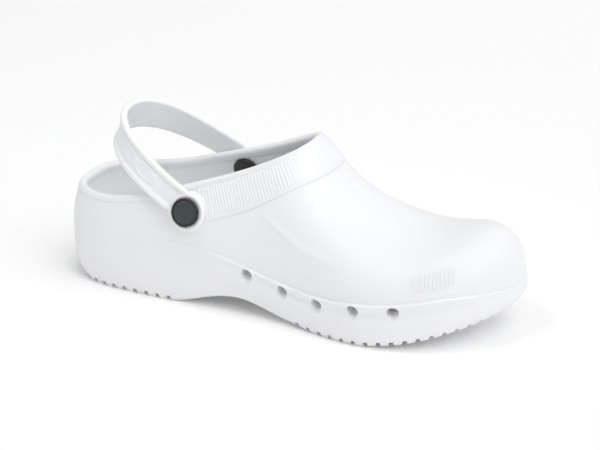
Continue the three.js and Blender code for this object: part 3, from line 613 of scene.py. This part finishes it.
def loft_faces(rows, count, closed=False):
    """Four-sided faces between closed rings, with a flat face at each end unless the rings close up."""
    index = np.arange(rows * count).reshape(rows, count)
    following = np.roll(index, -1, axis=0) if closed else index[1:]
    index_here = index if closed else index[:-1]
    quads = np.stack([
        index_here,
        np.roll(index_here, -1, axis=1),
        np.roll(following, -1, axis=1),
        following,
    ], axis=-1).reshape(-1, 4)
    return list(quads) if closed else [*quads, index[0][::-1], index[-1]]


def joined(forms):
    """Several forms' points and faces as one."""
    points, faces, used = [], [], 0
    for form_points, form_faces in forms:
        flat = np.reshape(form_points, (-1, 3))
        points.append(flat)
        faces += [np.asarray(face) + used for face in form_faces]
        used += len(flat)
    return np.vstack(points), faces


def cut(piece, forms):
    """Takes closed forms away from a piece."""
    points, faces = joined(forms)
    tool = mesh_piece("cutter", points, faces, white_foam)
    modifier = piece.modifiers.new("cut", "BOOLEAN")
    modifier.operation = "DIFFERENCE"
    modifier.solver = "MANIFOLD"
    modifier.object = tool
    seen = piece.evaluated_get(bpy.context.evaluated_depsgraph_get())
    cut_mesh = bpy.data.meshes.new_from_object(seen)
    piece.modifiers.clear()
    piece.data = cut_mesh
    bpy.data.objects.remove(tool)


def vent_form(side, x):
    """A vent's pin, which climbs a little on its way in."""
    place, out = edge_point(side, x)
    rise = math.radians(VENT_CLIMB)
    inwards = np.array([-out[0] * math.cos(rise), -out[1] * math.cos(rise), math.sin(rise)])
    mouth = np.array([*place, SIDE_HEIGHT * side_curves["ledge"](share(x)) - VENT_DROP]) + ROW_SHIFT
    return lathe_rings(VENT_PROFILE, mouth, inwards), loft_faces(len(VENT_PROFILE), ROUND_STEPS)


def lug_places():
    """Places at even steps round the outline, each with its way out."""
    loop = np.vstack([edges["lateral"], edges["medial"][::-1][1:]])
    run = np.concatenate([[0], np.cumsum(np.linalg.norm(np.diff(loop, axis=0), axis=1))])
    places = []
    for at in np.arange(LUG_PITCH / 2, run[-1], LUG_PITCH):
        i = np.searchsorted(run, at)
        way = (loop[i] - loop[i - 1]) / (run[i] - run[i - 1])
        place = loop[i - 1] + way * (at - run[i - 1])
        if place[0] < HEEL_TREAD_END or place[0] > BALL_TREAD_START:
            places.append((place, np.array([way[1], -way[0]])))
    return places


def notch_form(place, out):
    """A blade across the lugs, a little narrower at its top."""
    tuck = TUCK * side_curves["tuck"](share(place[0]))
    foot = tread_height(np.array(place[0]))
    along = np.array([-out[1], out[0]]) * NOTCH_WIDTH / 2
    section = [(-1, -4), (1, -4), (1, 0), (NOTCH_TAPER, 1), (-NOTCH_TAPER, 1), (-1, 0)]
    rings = []
    for outward in (NOTCH_PAST[0], -(tuck + LUG_LENGTH + NOTCH_PAST[1])):
        at = place + out * outward
        rings.append([[*(at + along * across), foot + up * NOTCH_HEIGHT] for across, up in section])
    return np.array(rings) + ROW_SHIFT, loft_faces(2, len(section))


vent_places = [FIRST_VENT + k * VENT_PITCH for k in range(VENT_COUNT)]
cut(body, [vent_form(side, x) for side in ("lateral", "medial") for x in vent_places])
places = lug_places()
for start in (0, 1):
    cut(body, [notch_form(*place) for place in places[start::2]])
dress(body, white_foam)


# Tread blocks: low foam bars for grip, moulded across the sole's floor and one with it. There is one row on
# each half of the foot, under the heel and under the forefoot, and the arch between them stays plain.

BLOCK_LENGTH = 7.5
BLOCK_PITCH = 12
BLOCK_EDGE_GAP = 3
BLOCK_MIDDLE_GAP = 4
BLOCK_ROOT = 1
BLOCK_ROUND = 0.6
TREAD_MARGIN = 24


def block_form(side, x):
    """A block with rounded lower edges, from near the foot's middle line to near the lugs."""
    outward = -1 if side == "lateral" else 1
    centre = upper_curves["across"](share(x)) * BALL_WIDTH
    from_y = centre + outward * BLOCK_MIDDLE_GAP / 2
    lug_foot = TUCK * side_curves["tuck"](share(x)) + LUG_LENGTH
    to_y = edge_across(side, x) - outward * (lug_foot + BLOCK_EDGE_GAP)
    turn = outward * BLOCK_ROUND
    root = LUG_DEPTH + BLOCK_ROOT
    rings = []
    for y, inset in ((from_y, 1), (from_y + turn, 0), (to_y - turn, 0), (to_y, 1)):
        half = BLOCK_LENGTH / 2 - inset * BLOCK_ROUND
        shoulder = half - BLOCK_ROUND
        ring = []
        for place, level in ((-half, root), (-half, BLOCK_ROUND), (-shoulder, 0),
                             (shoulder, 0), (half, BLOCK_ROUND), (half, root)):
            foot = float(tread_height(np.array(x + place)))
            ring.append([x + place, y, foot + max(level, inset * BLOCK_ROUND)])
        rings.append(ring)
    return np.array(rings) + ROW_SHIFT, loft_faces(4, 6)


block_xs = [x for x in np.arange(TREAD_MARGIN, LENGTH - TREAD_MARGIN + 1, BLOCK_PITCH)
            if x < HEEL_TREAD_END or x > BALL_TREAD_START]
points, faces = joined([block_form(side, x) for side in ("lateral", "medial") for x in block_xs])
mesh_piece("tread_blocks", points, faces, white_foam, 40)


# Collar lip: the rounded bead of foam that the mould leaves all round the opening, one with the wall. It is
# swept along the collar's line, with the wall's own way out as its outer side.

LIP_SECTION = [  # outwards from the wall's skin, and up past the collar's line
    (-1.6, -4.9), (-0.3, -4.8), (0.35, -3.9), (0.62, -2.6), (0.45, -1.0), (-0.7, 0.1), (-2.25, 0.35),
    (-3.7, 0.1), (-4.6, -0.9), (-4.72, -2.6), (-4.62, -4.4), (-4.4, -6.2), (-3.4, -6.4), (-2.6, -5.2),
]
LIP_STATIONS = 720
LIP_SECTION_POINTS = 40
LIP_KINK = 1.6  # over how much of the collar's line its kinks are blurred
LIP_TWIST = 4  # over how many stations its way out is blurred
SKIN_RINGS = 110
SKIN_REAR, SKIN_FRONT = 120, 80
COLLAR_REAR, COLLAR_FRONT = 220, 8


def smooth_loop(guide, count):
    """A closed B-spline through the neighbourhood of guide points."""
    guide = np.asarray(guide, float)
    at = np.linspace(0, len(guide), count, endpoint=False)
    i = at.astype(int)
    t = (at - i)[:, None]
    a, b, c, d = (guide[(i + k) % len(guide)] for k in range(4))
    return ((1 - t) ** 3 * a + (3 * t**3 - 6 * t * t + 4) * b
            + (-3 * t**3 + 3 * t * t + 3 * t + 1) * c + t**3 * d) / 6


def even_loop(points, count, blur):
    """A closed line at even steps, with its kinks blurred over some millimetres."""
    loop = np.vstack([points, points[:1]])
    run = np.concatenate([[0], np.cumsum(np.linalg.norm(np.diff(loop, axis=0), axis=1))])
    at = np.arange(count) * run[-1] / count
    even = np.column_stack([np.interp(at, run, loop[:, k]) for k in range(3)])
    return blurred(even, blur * count / run[-1])


def blurred(values, spread):
    """A closed row of vectors, each mixed with its neighbours within a spread."""
    reach = int(3 * spread) + 1
    offsets = np.arange(-reach, reach + 1)
    weights = np.exp(-0.5 * (offsets / max(spread, 1e-6)) ** 2)
    mixed = sum(w * np.roll(values, -o, axis=0) for w, o in zip(weights, offsets))
    return mixed / weights.sum()


def unit(vectors):
    return vectors / np.maximum(np.linalg.norm(vectors, axis=-1, keepdims=True), 1e-9)


class Skin:
    """The upper's whole outer surface, on which trim is laid."""

    def __init__(self, plan):
        angles = np.linspace(0.0, math.pi / 2, SKIN_RINGS)
        rings = np.array([plan.upper(np.full(len(plan.x), angle)) for angle in angles])
        self.points, self.faces = weld(rings.reshape(-1, 3) + ROW_SHIFT, ring_faces(rings))
        self.normals = point_normals(self.points, self.faces)
        self.tree = BVHTree.FromPolygons(self.points.tolist(), self.faces.tolist())

    def nearest(self, places):
        """The skin's nearest point to each place, and its normal there."""
        found = [self.tree.find_nearest(Vector(place)) for place in places]
        at = np.array([hit[0] for hit in found])
        corners = self.faces[[hit[2] for hit in found]]
        a, b, c = (self.points[corners[:, k]] for k in range(3))
        ab, ac, ap = b - a, c - a, at - a
        d00, d01, d11 = ((ab * ab).sum(1), (ab * ac).sum(1), (ac * ac).sum(1))
        d20, d21 = (ap * ab).sum(1), (ap * ac).sum(1)
        scale = np.maximum(d00 * d11 - d01 * d01, 1e-12)
        v, w = (d11 * d20 - d01 * d21) / scale, (d00 * d21 - d01 * d20) / scale
        mix = np.clip(np.column_stack([1 - v - w, v, w]), 0, 1)
        return at, unit(sum(mix[:, k:k + 1] * self.normals[corners[:, k]] for k in range(3)))


skin = Skin(Plan(THROAT_AT, SKIN_REAR, SKIN_FRONT))
collar_plan = Plan(THROAT_AT, COLLAR_REAR, COLLAR_FRONT)
collar_line = collar_plan.upper(collar_plan.rim(THROAT_AT, 0))[collar_plan.pair <= COLLAR_REAR] + ROW_SHIFT
collar_line = even_loop(collar_line, LIP_STATIONS, LIP_KINK)
collar_run = unit(np.roll(collar_line, -1, axis=0) - np.roll(collar_line, 1, axis=0))
_, collar_out = skin.nearest(collar_line)
collar_out = unit(blurred(collar_out, LIP_TWIST))
collar_out = unit(collar_out - (collar_out * collar_run).sum(1)[:, None] * collar_run)
collar_up = np.cross(collar_out, collar_run)
lip_section = smooth_loop(LIP_SECTION, LIP_SECTION_POINTS)
lip = (collar_line[:, None] + lip_section[None, :, :1] * collar_out[:, None]
       + lip_section[None, :, 1:] * collar_up[:, None])
lip_faces = loft_faces(*lip.shape[:2], True)
mesh_piece("collar_lip", lip.reshape(-1, 3), lip_faces, white_foam)


# Collar band: the raised foam panel moulded below the lip, from one rivet round the throat to the other. On
# each side it holds a row of fine ribs that run square to the collar and fade out towards the throat.

BAND_WIDTH = {"rear": 25, "throat": 22.4}
BAND_RAISE = 0.7
BAND_ROOT = 1.4
BAND_ROWS = 64
BAND_EDGE_ROWS = 10  # of these, close together at its lower edge
BAND_STATIONS = 760
BAND_EVEN = 15  # how far its rear width holds
RIB_PITCH = 1.88
RIB_TOP, RIB_FOOT = 4.2, 22.4  # below the collar's line
RIB_RAISE = 0.42
RIB_PANEL_DEPTH = 0.4
RIBS_TO = 8  # where the ribs have faded out
RIB_FADE = 14
BORDER_LINE = 1.7  # how far above the band's lower edge its fine groove runs
BORDER_DEPTH = 0.16
BAND_FROM = -51  # where the band starts at each rivet
BAND_SINK = 0.5  # how deep its edges dive into the wall


def smooth_step(low, high, value):
    """A soft rise from 0 at low to 1 at high."""
    t = np.clip((value - low) / (high - low), 0, 1)
    return t * t * (3 - 2 * t)


def laid_grid(start, way, distances):
    """Rows of points on the skin, each a further distance down from a line."""
    at, normal = skin.nearest(start)
    rows, normals = [], []
    gone = np.zeros(len(at))
    way = unit(way - (way * normal).sum(1)[:, None] * normal)
    for distance in distances:
        at, normal = skin.nearest(at + way * (distance - gone)[:, None])
        way = unit(way - (way * normal).sum(1)[:, None] * normal)
        gone = distance
        rows.append(at)
        normals.append(normal)
    return np.array(rows), np.array(normals)


def laid_piece(name, rows, normals, relief, root):
    """A closed sheet over rows of points on the skin, its relief outside and its root inside the wall."""
    top = rows + normals * relief[..., None]
    under = rows[[-1, 0]] - normals[[-1, 0]] * root
    sheet = np.concatenate([top, under]).transpose(1, 0, 2)
    return mesh_piece(name, sheet.reshape(-1, 3), loft_faces(*sheet.shape[:2]), white_foam, 50)


front = np.nonzero(collar_line[:, 0] > BAND_FROM)[0]
run = np.arange(front[0], front[-1], (front[-1] - front[0]) / BAND_STATIONS)
whole = np.arange(LIP_STATIONS)
band_line = np.column_stack([np.interp(run, whole, collar_line[:, k]) for k in range(3)])
band_down = -np.column_stack([np.interp(run, whole, collar_up[:, k]) for k in range(3)])
to_throat = smooth_step(BAND_FROM + BAND_EVEN, THROAT_AT + ROW_SHIFT[0], band_line[:, 0])
band_width = BAND_WIDTH["rear"] + (BAND_WIDTH["throat"] - BAND_WIDTH["rear"]) * to_throat
upper_rows = np.linspace(0.1, 0.94, BAND_ROWS - BAND_EDGE_ROWS)
from_lip = np.concatenate([upper_rows, np.linspace(0.945, 1.02, BAND_EDGE_ROWS)])
distances = from_lip[:, None] * band_width
rows, normals = laid_grid(band_line, band_down, distances)
along = np.concatenate([[0], np.cumsum(np.linalg.norm(np.diff(band_line, axis=0), axis=1))])
from_end = np.minimum(along, along[-1] - along)
fade = 1 - smooth_step(RIBS_TO - RIB_FADE, RIBS_TO, band_line[:, 0])
above = RIB_TOP - distances
below = distances - RIB_FOOT * band_width / BAND_WIDTH["rear"]
panel = (1 - smooth_step(0, 0.8, above)) * (1 - smooth_step(0, 0.8, below)) * fade
rib = np.clip(0.5 + 0.9 * np.cos(2 * math.pi * from_end / RIB_PITCH), 0, 1)
ends = (1 - smooth_step(-1.6, 0.2, above)) * (1 - smooth_step(-1.6, 0.2, below))
to_edge = band_width - distances
groove = BORDER_DEPTH * np.exp(-((to_edge - BORDER_LINE) / 0.35) ** 2)
relief = BAND_RAISE - panel * RIB_PANEL_DEPTH + panel * ends * rib * RIB_RAISE - groove
relief = relief * smooth_step(0, 0.9, to_edge) - BAND_SINK * smooth_step(-0.1, 0.4, -to_edge)
relief = np.where(from_end < 1.2, np.minimum(relief, from_end - BAND_SINK), relief)
laid_piece("collar_band", rows, normals, relief, BAND_ROOT)


# Toe grips: on each side of the toe box a patch of fine ribs moulded in the foam, low enough to feel rather
# than see. They stand nearly upright and fade out at both ends.

GRIP_FROM, GRIP_TO = 87, 117  # along the foot, at mid-height
GRIP_MIDDLE = (101.8, 43.2)
GRIP_CLIMB = 0.17  # how steeply the row of ribs rises towards the toe
GRIP_LEAN = -0.2  # how far the ribs lean back as they rise
GRIP_HALF_HEIGHT = 7.5
GRIP_PITCH = 1.95
GRIP_RAISE = 0.33
GRIP_SUNK = 0.35
GRIP_ROOT = 1.2
GRIP_FADE = 0.6
GRIP_STATIONS, GRIP_ROWS = 200, 26


def toe_grip(side):
    """A ribbed patch on one side of the toe box."""
    outward = -1 if side == "lateral" else 1
    row_x = np.linspace(GRIP_FROM, GRIP_TO, GRIP_STATIONS)
    places = []
    for rise in np.linspace(GRIP_HALF_HEIGHT, -GRIP_HALF_HEIGHT, GRIP_ROWS):
        for x in row_x:
            height = GRIP_MIDDLE[1] + GRIP_CLIMB * (x - GRIP_MIDDLE[0]) + rise
            outside = Vector((x + GRIP_LEAN * rise, outward * BALL_WIDTH, height))
            places.append(skin.tree.ray_cast(outside, Vector((0, -outward, 0)))[0])
    at, normal = skin.nearest(np.array(places))
    at, normal = (values.reshape(GRIP_ROWS, GRIP_STATIONS, 3) for values in (at, normal))
    rib = np.clip(0.5 + 0.75 * np.cos(2 * math.pi * (row_x - GRIP_FROM) / GRIP_PITCH), 0, 1)
    along, down = np.linspace(0, 1, GRIP_STATIONS), np.linspace(0, 1, GRIP_ROWS)[:, None]
    fade = (np.sin(math.pi * along) * np.sin(math.pi * down)).clip(0) ** GRIP_FADE
    relief = (GRIP_SUNK + GRIP_RAISE) * rib * fade - GRIP_SUNK
    laid_piece(f"toe_grip_{side}", at, normal, relief, GRIP_ROOT)


for side in ("lateral", "medial"):
    toe_grip(side)


# Rivets: on each side a moulded black plastic cap goes with its shank through the strap's eye and the wall,
# and snaps into a button inside. The cap carries a plain dark inlay with a turned groove, and the wall has a
# low foam boss under the strap's eye. Their axes come from the frame's own rivets.

SEAT_TO_BADGE = 7.5  # from the wall's flat seat to the middle of the inlay
GAP = 0.3
EYE_THICKNESS = 5
CAP_PROFILE = [  # along the axis from the seat, and radius, as in the profiles below
    (5.6, 0), (5.6, 8.1), (5.75, 8.55), (6.1, 8.75), (6.9, 8.75), (7.45, 8.55), (7.8, 8.15), (7.92, 7.85),
    (7.9, 7.6), (7.7, 7.45), (7.0, 7.42), (6.8, 0),
]
BADGE_PROFILE = [
    (6.9, 0), (6.9, 7.3), (7.5, 7.3), (7.62, 7.15), (7.66, 6.9), (7.66, 6.2), (7.5, 6.05), (7.5, 5.85),
    (7.66, 5.7), (7.62, 4.0), (7.56, 2.0), (7.54, 0),
]
SHANK_PROFILE = [(-7.1, 0), (-7.1, 3.5), (5.7, 3.5), (5.7, 0)]
BUTTON_PROFILE = [
    (-5.7, 0), (-5.7, 8.3), (-5.95, 8.6), (-6.9, 8.6), (-7.6, 8.2), (-8.05, 7.4), (-8.3, 6.1), (-8.35, 4.6),
    (-8.1, 4.3), (-8.1, 3.4), (-8.35, 3.1), (-8.4, 0),
]
BOSS_PROFILE = [(-3.4, 0), (-3.4, 13.2), (-2, 12.2), (-1, 11.7), (-0.25, 11.4), (0, 11), (0, 0)]
LATHE_STEPS = 96
POINT_RADIUS = 0.02  # of a turned form's end on its axis


def turned_piece(name, profile, rivet, finish, sharp=32):
    """A piece turned round a rivet's axis."""
    spaced = [(along, max(radius, POINT_RADIUS)) for along, radius in profile]
    rings = lathe_rings(spaced, rivet["seat"], rivet["axis"], LATHE_STEPS)
    faces = loft_faces(len(spaced), LATHE_STEPS)
    return mesh_piece(name, rings.reshape(-1, 3), faces, finish, sharp)


def middle_of(node):
    low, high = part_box(node)
    return np.array((low + high) / 2) / MM


rivets = {}
for side in ("lateral", "medial"):
    badge, button = middle_of(f"rivet_badge_{side}"), middle_of(f"rivet_button_{side}")
    axis = unit(badge - button)
    rivets[side] = {"axis": axis, "seat": badge - axis * SEAT_TO_BADGE}

black_plastic = Finish("black_plastic", Specular_IOR_Level=0.5)
cap_tint = black_plastic.blend(black_plastic.noise(4), (0.012, 0.012, 0.013, 1), (0.022, 0.022, 0.024, 1))
black_plastic.feed("Base Color", cap_tint)
black_plastic.feed("Roughness", 0.28 + 0.16 * black_plastic.noise(1.5))
black_plastic.bump(black_plastic.noise(0.5, 4), 0.02)
badge_print = Finish("badge_print", Specular_IOR_Level=0.5)
inlay_tint = badge_print.blend(badge_print.noise(2), (0.03, 0.045, 0.042, 1), (0.045, 0.06, 0.056, 1))
badge_print.feed("Base Color", inlay_tint)
badge_print.feed("Roughness", 0.3 + 0.15 * badge_print.noise(1))
badge_print.bump(badge_print.noise(0.7, 4), 0.02)

for side, rivet in rivets.items():
    turned_piece(f"collar_boss_{side}", BOSS_PROFILE, rivet, white_foam)
    cap = turned_piece(f"rivet_cap_{side}", CAP_PROFILE, rivet, black_plastic, 50)
    turned_piece(f"rivet_shank_{side}", SHANK_PROFILE, rivet, black_plastic)
    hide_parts(f"rivet_post_{side}")
    badge = turned_piece(f"rivet_inlay_{side}", BADGE_PROFILE, rivet, badge_print, 50)
    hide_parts(f"rivet_badge_{side}")
    button = turned_piece(f"rivet_inner_{side}", BUTTON_PROFILE, rivet, black_plastic, 50)
    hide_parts(f"rivet_button_{side}")


# Heel strap: a moulded foam band with a raised lip along both edges of its outer face and a round eye at each
# end. It swings on the rivets, and here it stands raised behind the heel. Two low oval rings are moulded in
# the floor of each leg.

STRAP_END_WIDTH = 17
STRAP_BACK_WIDTH = 19.5
STRAP_THICKNESS = 4.4
STRAP_REACH = 72
STRAP_SLOPE = 28.5
STRAP_ROUNDNESS = 2.1
STRAP_LIFT = 2.2
STRAP_BACK_LEAN = -11
STRAP_FLAT_FROM = 0.86
STRAP_SHIFT = 1.3
STRAP_BORDER = 2.9
STRAP_RECESS = 1.2
STRAP_STATIONS = 420
STRAP_EDGE_POINTS = 9  # round one edge of the section, up to its floor
STRAP_FLOOR_STEPS = 30
STRAP_AHEAD = 0.002  # share of the way round over which the strap's run is measured
EYE_PROFILE = [
    (0.3, 0), (0.3, 10.3), (0.5, 10.9), (1.1, 11.25), (4.2, 11.25), (4.9, 10.95), (5.25, 10.4), (5.3, 9.9),
    (5.28, 9.4), (4.95, 9.15), (4.95, 0),
]
STRAP_RINGS = [  # share of the way round from the back, half length, half width
    {"at": 0.69, "long": 8.5, "wide": 3.4},
    {"at": 0.52, "long": 6, "wide": 3.2},
]
STRAP_RING_RAISE = 0.45
STRAP_RING_LINE = 0.55

strap_slope = math.radians(STRAP_SLOPE)
strap_way = np.array([-math.cos(strap_slope), 0, math.sin(strap_slope)])
strap_upright = np.array([math.sin(strap_slope), 0, math.cos(strap_slope)])


def eye_middle(rivet):
    """Where the strap's middle line meets an eye."""
    rise = unit(np.array([0, 0, 1]) - rivet["axis"] * rivet["axis"][2])
    return rivet["seat"] + rivet["axis"] * (GAP + EYE_THICKNESS / 2) + rise * STRAP_LIFT


def strap_middle(t):
    """The strap's middle line: t is -1 at the lateral eye, 0 at the back and 1 at the medial eye."""
    turn = np.asarray(t) * math.pi / 2
    back = np.clip(np.cos(turn), 0, None) ** (2 / STRAP_ROUNDNESS)
    across = np.sign(turn) * np.abs(np.sin(turn)) ** (2 / STRAP_ROUNDNESS)
    axis = np.where((across < 0)[:, None], rivets["lateral"]["axis"], rivets["medial"]["axis"])
    ends = [eye_middle(rivets[side]) for side in ("lateral", "medial")]
    centre = ends[0] + (ends[1] - ends[0]) * ((1 + across) / 2)[:, None]
    centre = centre + strap_way * (STRAP_REACH * back)[:, None]
    inset = (axis @ strap_way) * STRAP_REACH * back * (1 - back) ** 2
    centre = centre - axis * inset[:, None]
    centre[:, 1] += STRAP_SHIFT * back * back
    return centre


def strap_section(half):
    """Across and out: rounded edges, two raised lips, and a floor between them."""
    thick = STRAP_THICKNESS / 2
    lip = half - STRAP_BORDER
    floor = np.linspace(lip - 0.9, -lip + 0.9, STRAP_FLOOR_STEPS)
    right = [(half - 1.1, -thick), (half - 0.4, -thick + 0.35), (half, -thick + 1.2), (half, thick - 1.2),
             (half - 0.35, thick - 0.4), (half - 1.0, thick), (lip + 0.6, thick), (lip, thick - 0.2),
             (lip - 0.5, thick - STRAP_RECESS + 0.12)]
    left = [(-across, out) for across, out in reversed(right)]
    inner = [(across, -thick) for across in np.linspace(-half + 2, half - 2, 8)]
    return np.array(right + [(across, thick - STRAP_RECESS) for across in floor] + left + inner)


t = np.linspace(-1, 1, STRAP_STATIONS)
centre = strap_middle(t)
run = unit(strap_middle(np.minimum(t + STRAP_AHEAD, 1)) - strap_middle(np.maximum(t - STRAP_AHEAD, -1)))
lean = math.radians(STRAP_BACK_LEAN)
out_back = unit(np.cross(strap_upright, run)) * math.cos(lean) + strap_upright * math.sin(lean)
end_axis = np.where((t < 0)[:, None], rivets["lateral"]["axis"], rivets["medial"]["axis"])
flat = smooth_step(0.1, STRAP_FLAT_FROM, np.abs(t))[:, None]
out = out_back * (1 - flat) + end_axis * flat
out = unit(out - (out * run).sum(1)[:, None] * run)
wide = unit(np.cross(out, run))
halves = (STRAP_BACK_WIDTH + (STRAP_END_WIDTH - STRAP_BACK_WIDTH) * t * t) / 2
sections = np.array([strap_section(half) for half in halves])
strap_run = np.concatenate([[0], np.cumsum(np.linalg.norm(np.diff(centre, axis=0), axis=1))])
for ring in STRAP_RINGS:
    for turn in (-1, 1):
        from_middle = strap_run - np.interp(turn * ring["at"], t, strap_run)
        on_floor = sections[:, STRAP_EDGE_POINTS:STRAP_EDGE_POINTS + STRAP_FLOOR_STEPS]
        oval = np.hypot(from_middle[:, None] / ring["long"], on_floor[..., 0] / ring["wide"])
        from_ring = (oval - 1) * ring["wide"] / STRAP_RING_LINE
        on_floor[..., 1] += STRAP_RING_RAISE * np.exp(-from_ring**2)
strap = centre[:, None] + wide[:, None] * sections[..., :1] + out[:, None] * sections[..., 1:]
strap_faces = loft_faces(*strap.shape[:2])
heel_strap = mesh_piece("heel_strap_band", strap.reshape(-1, 3), strap_faces, white_foam, 40)
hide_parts("heel_strap")
for side, rivet in rivets.items():
    turned_piece(f"strap_eye_{side}", EYE_PROFILE, rivet, white_foam, 50)


# Insole: a loose sheet of softer foam, cut to the footbed's plan with a little room round its edge, and
# dropped into the body, where it lies by its own weight. Its edges are rounded and its top is finely grained.

INSOLE_THICKNESS = 4
INSOLE_EDGE_GAP = 0.8
INSOLE_REAR, INSOLE_FRONT = 90, 60
INSOLE_SECTION = [  # share of the way out from the middle line, distance in from the edge, height
    (0.25, 0, 0), (0.5, 0, 0), (0.8, 0, 0), (1, 1, 0), (1, 0.2, 0.5), (1, 0, 1.4), (1, 0, 2.8), (1, 0.3, 3.6),
    (1, 1.2, INSOLE_THICKNESS), (0.9, 0, INSOLE_THICKNESS), (0.75, 0, INSOLE_THICKNESS),
    (0.5, 0, INSOLE_THICKNESS), (0.25, 0, INSOLE_THICKNESS),
]

insole_foam = Finish("insole_foam", Specular_IOR_Level=0.25)
insole_tint = insole_foam.blend(insole_foam.noise(20), (0.86, 0.865, 0.87, 1), (0.9, 0.905, 0.91, 1))
insole_foam.feed("Base Color", insole_tint)
insole_foam.feed("Roughness", 0.7 + 0.2 * insole_foam.noise(3))
insole_foam.bump(insole_foam.noise(1.2, 5), 0.12)


def faces_across(count):
    """Triangles that span a ring from side to side."""
    spans = []
    for here in range(count // 2):
        there = count - here
        spans += [(here, here + 1, there - 1), (here, there - 1, there % count)]
    return np.array([corners for corners in spans if len(set(corners)) == 3])


insole_plan = Plan(THROAT_AT, INSOLE_REAR, INSOLE_FRONT)
sheet = []
for reach, inset, level in INSOLE_SECTION:
    depth = SIDE_WALL + INSOLE_EDGE_GAP + inset
    sheet.append(insole_plan.bed_ring(reach, depth, lambda x, r: bed_height(x, r) + GAP + level))
sheet = np.array(sheet)
around = sheet.shape[1]
across = faces_across(around)
last_ring = (len(sheet) - 1) * around
faces = np.concatenate([ring_faces(sheet), across[:, ::-1], across + last_ring])
points, faces = weld(sheet.reshape(-1, 3) + ROW_SHIFT, faces)
insole = mesh_piece("insole_sheet", points, faces, insole_foam, 60)
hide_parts("insole")
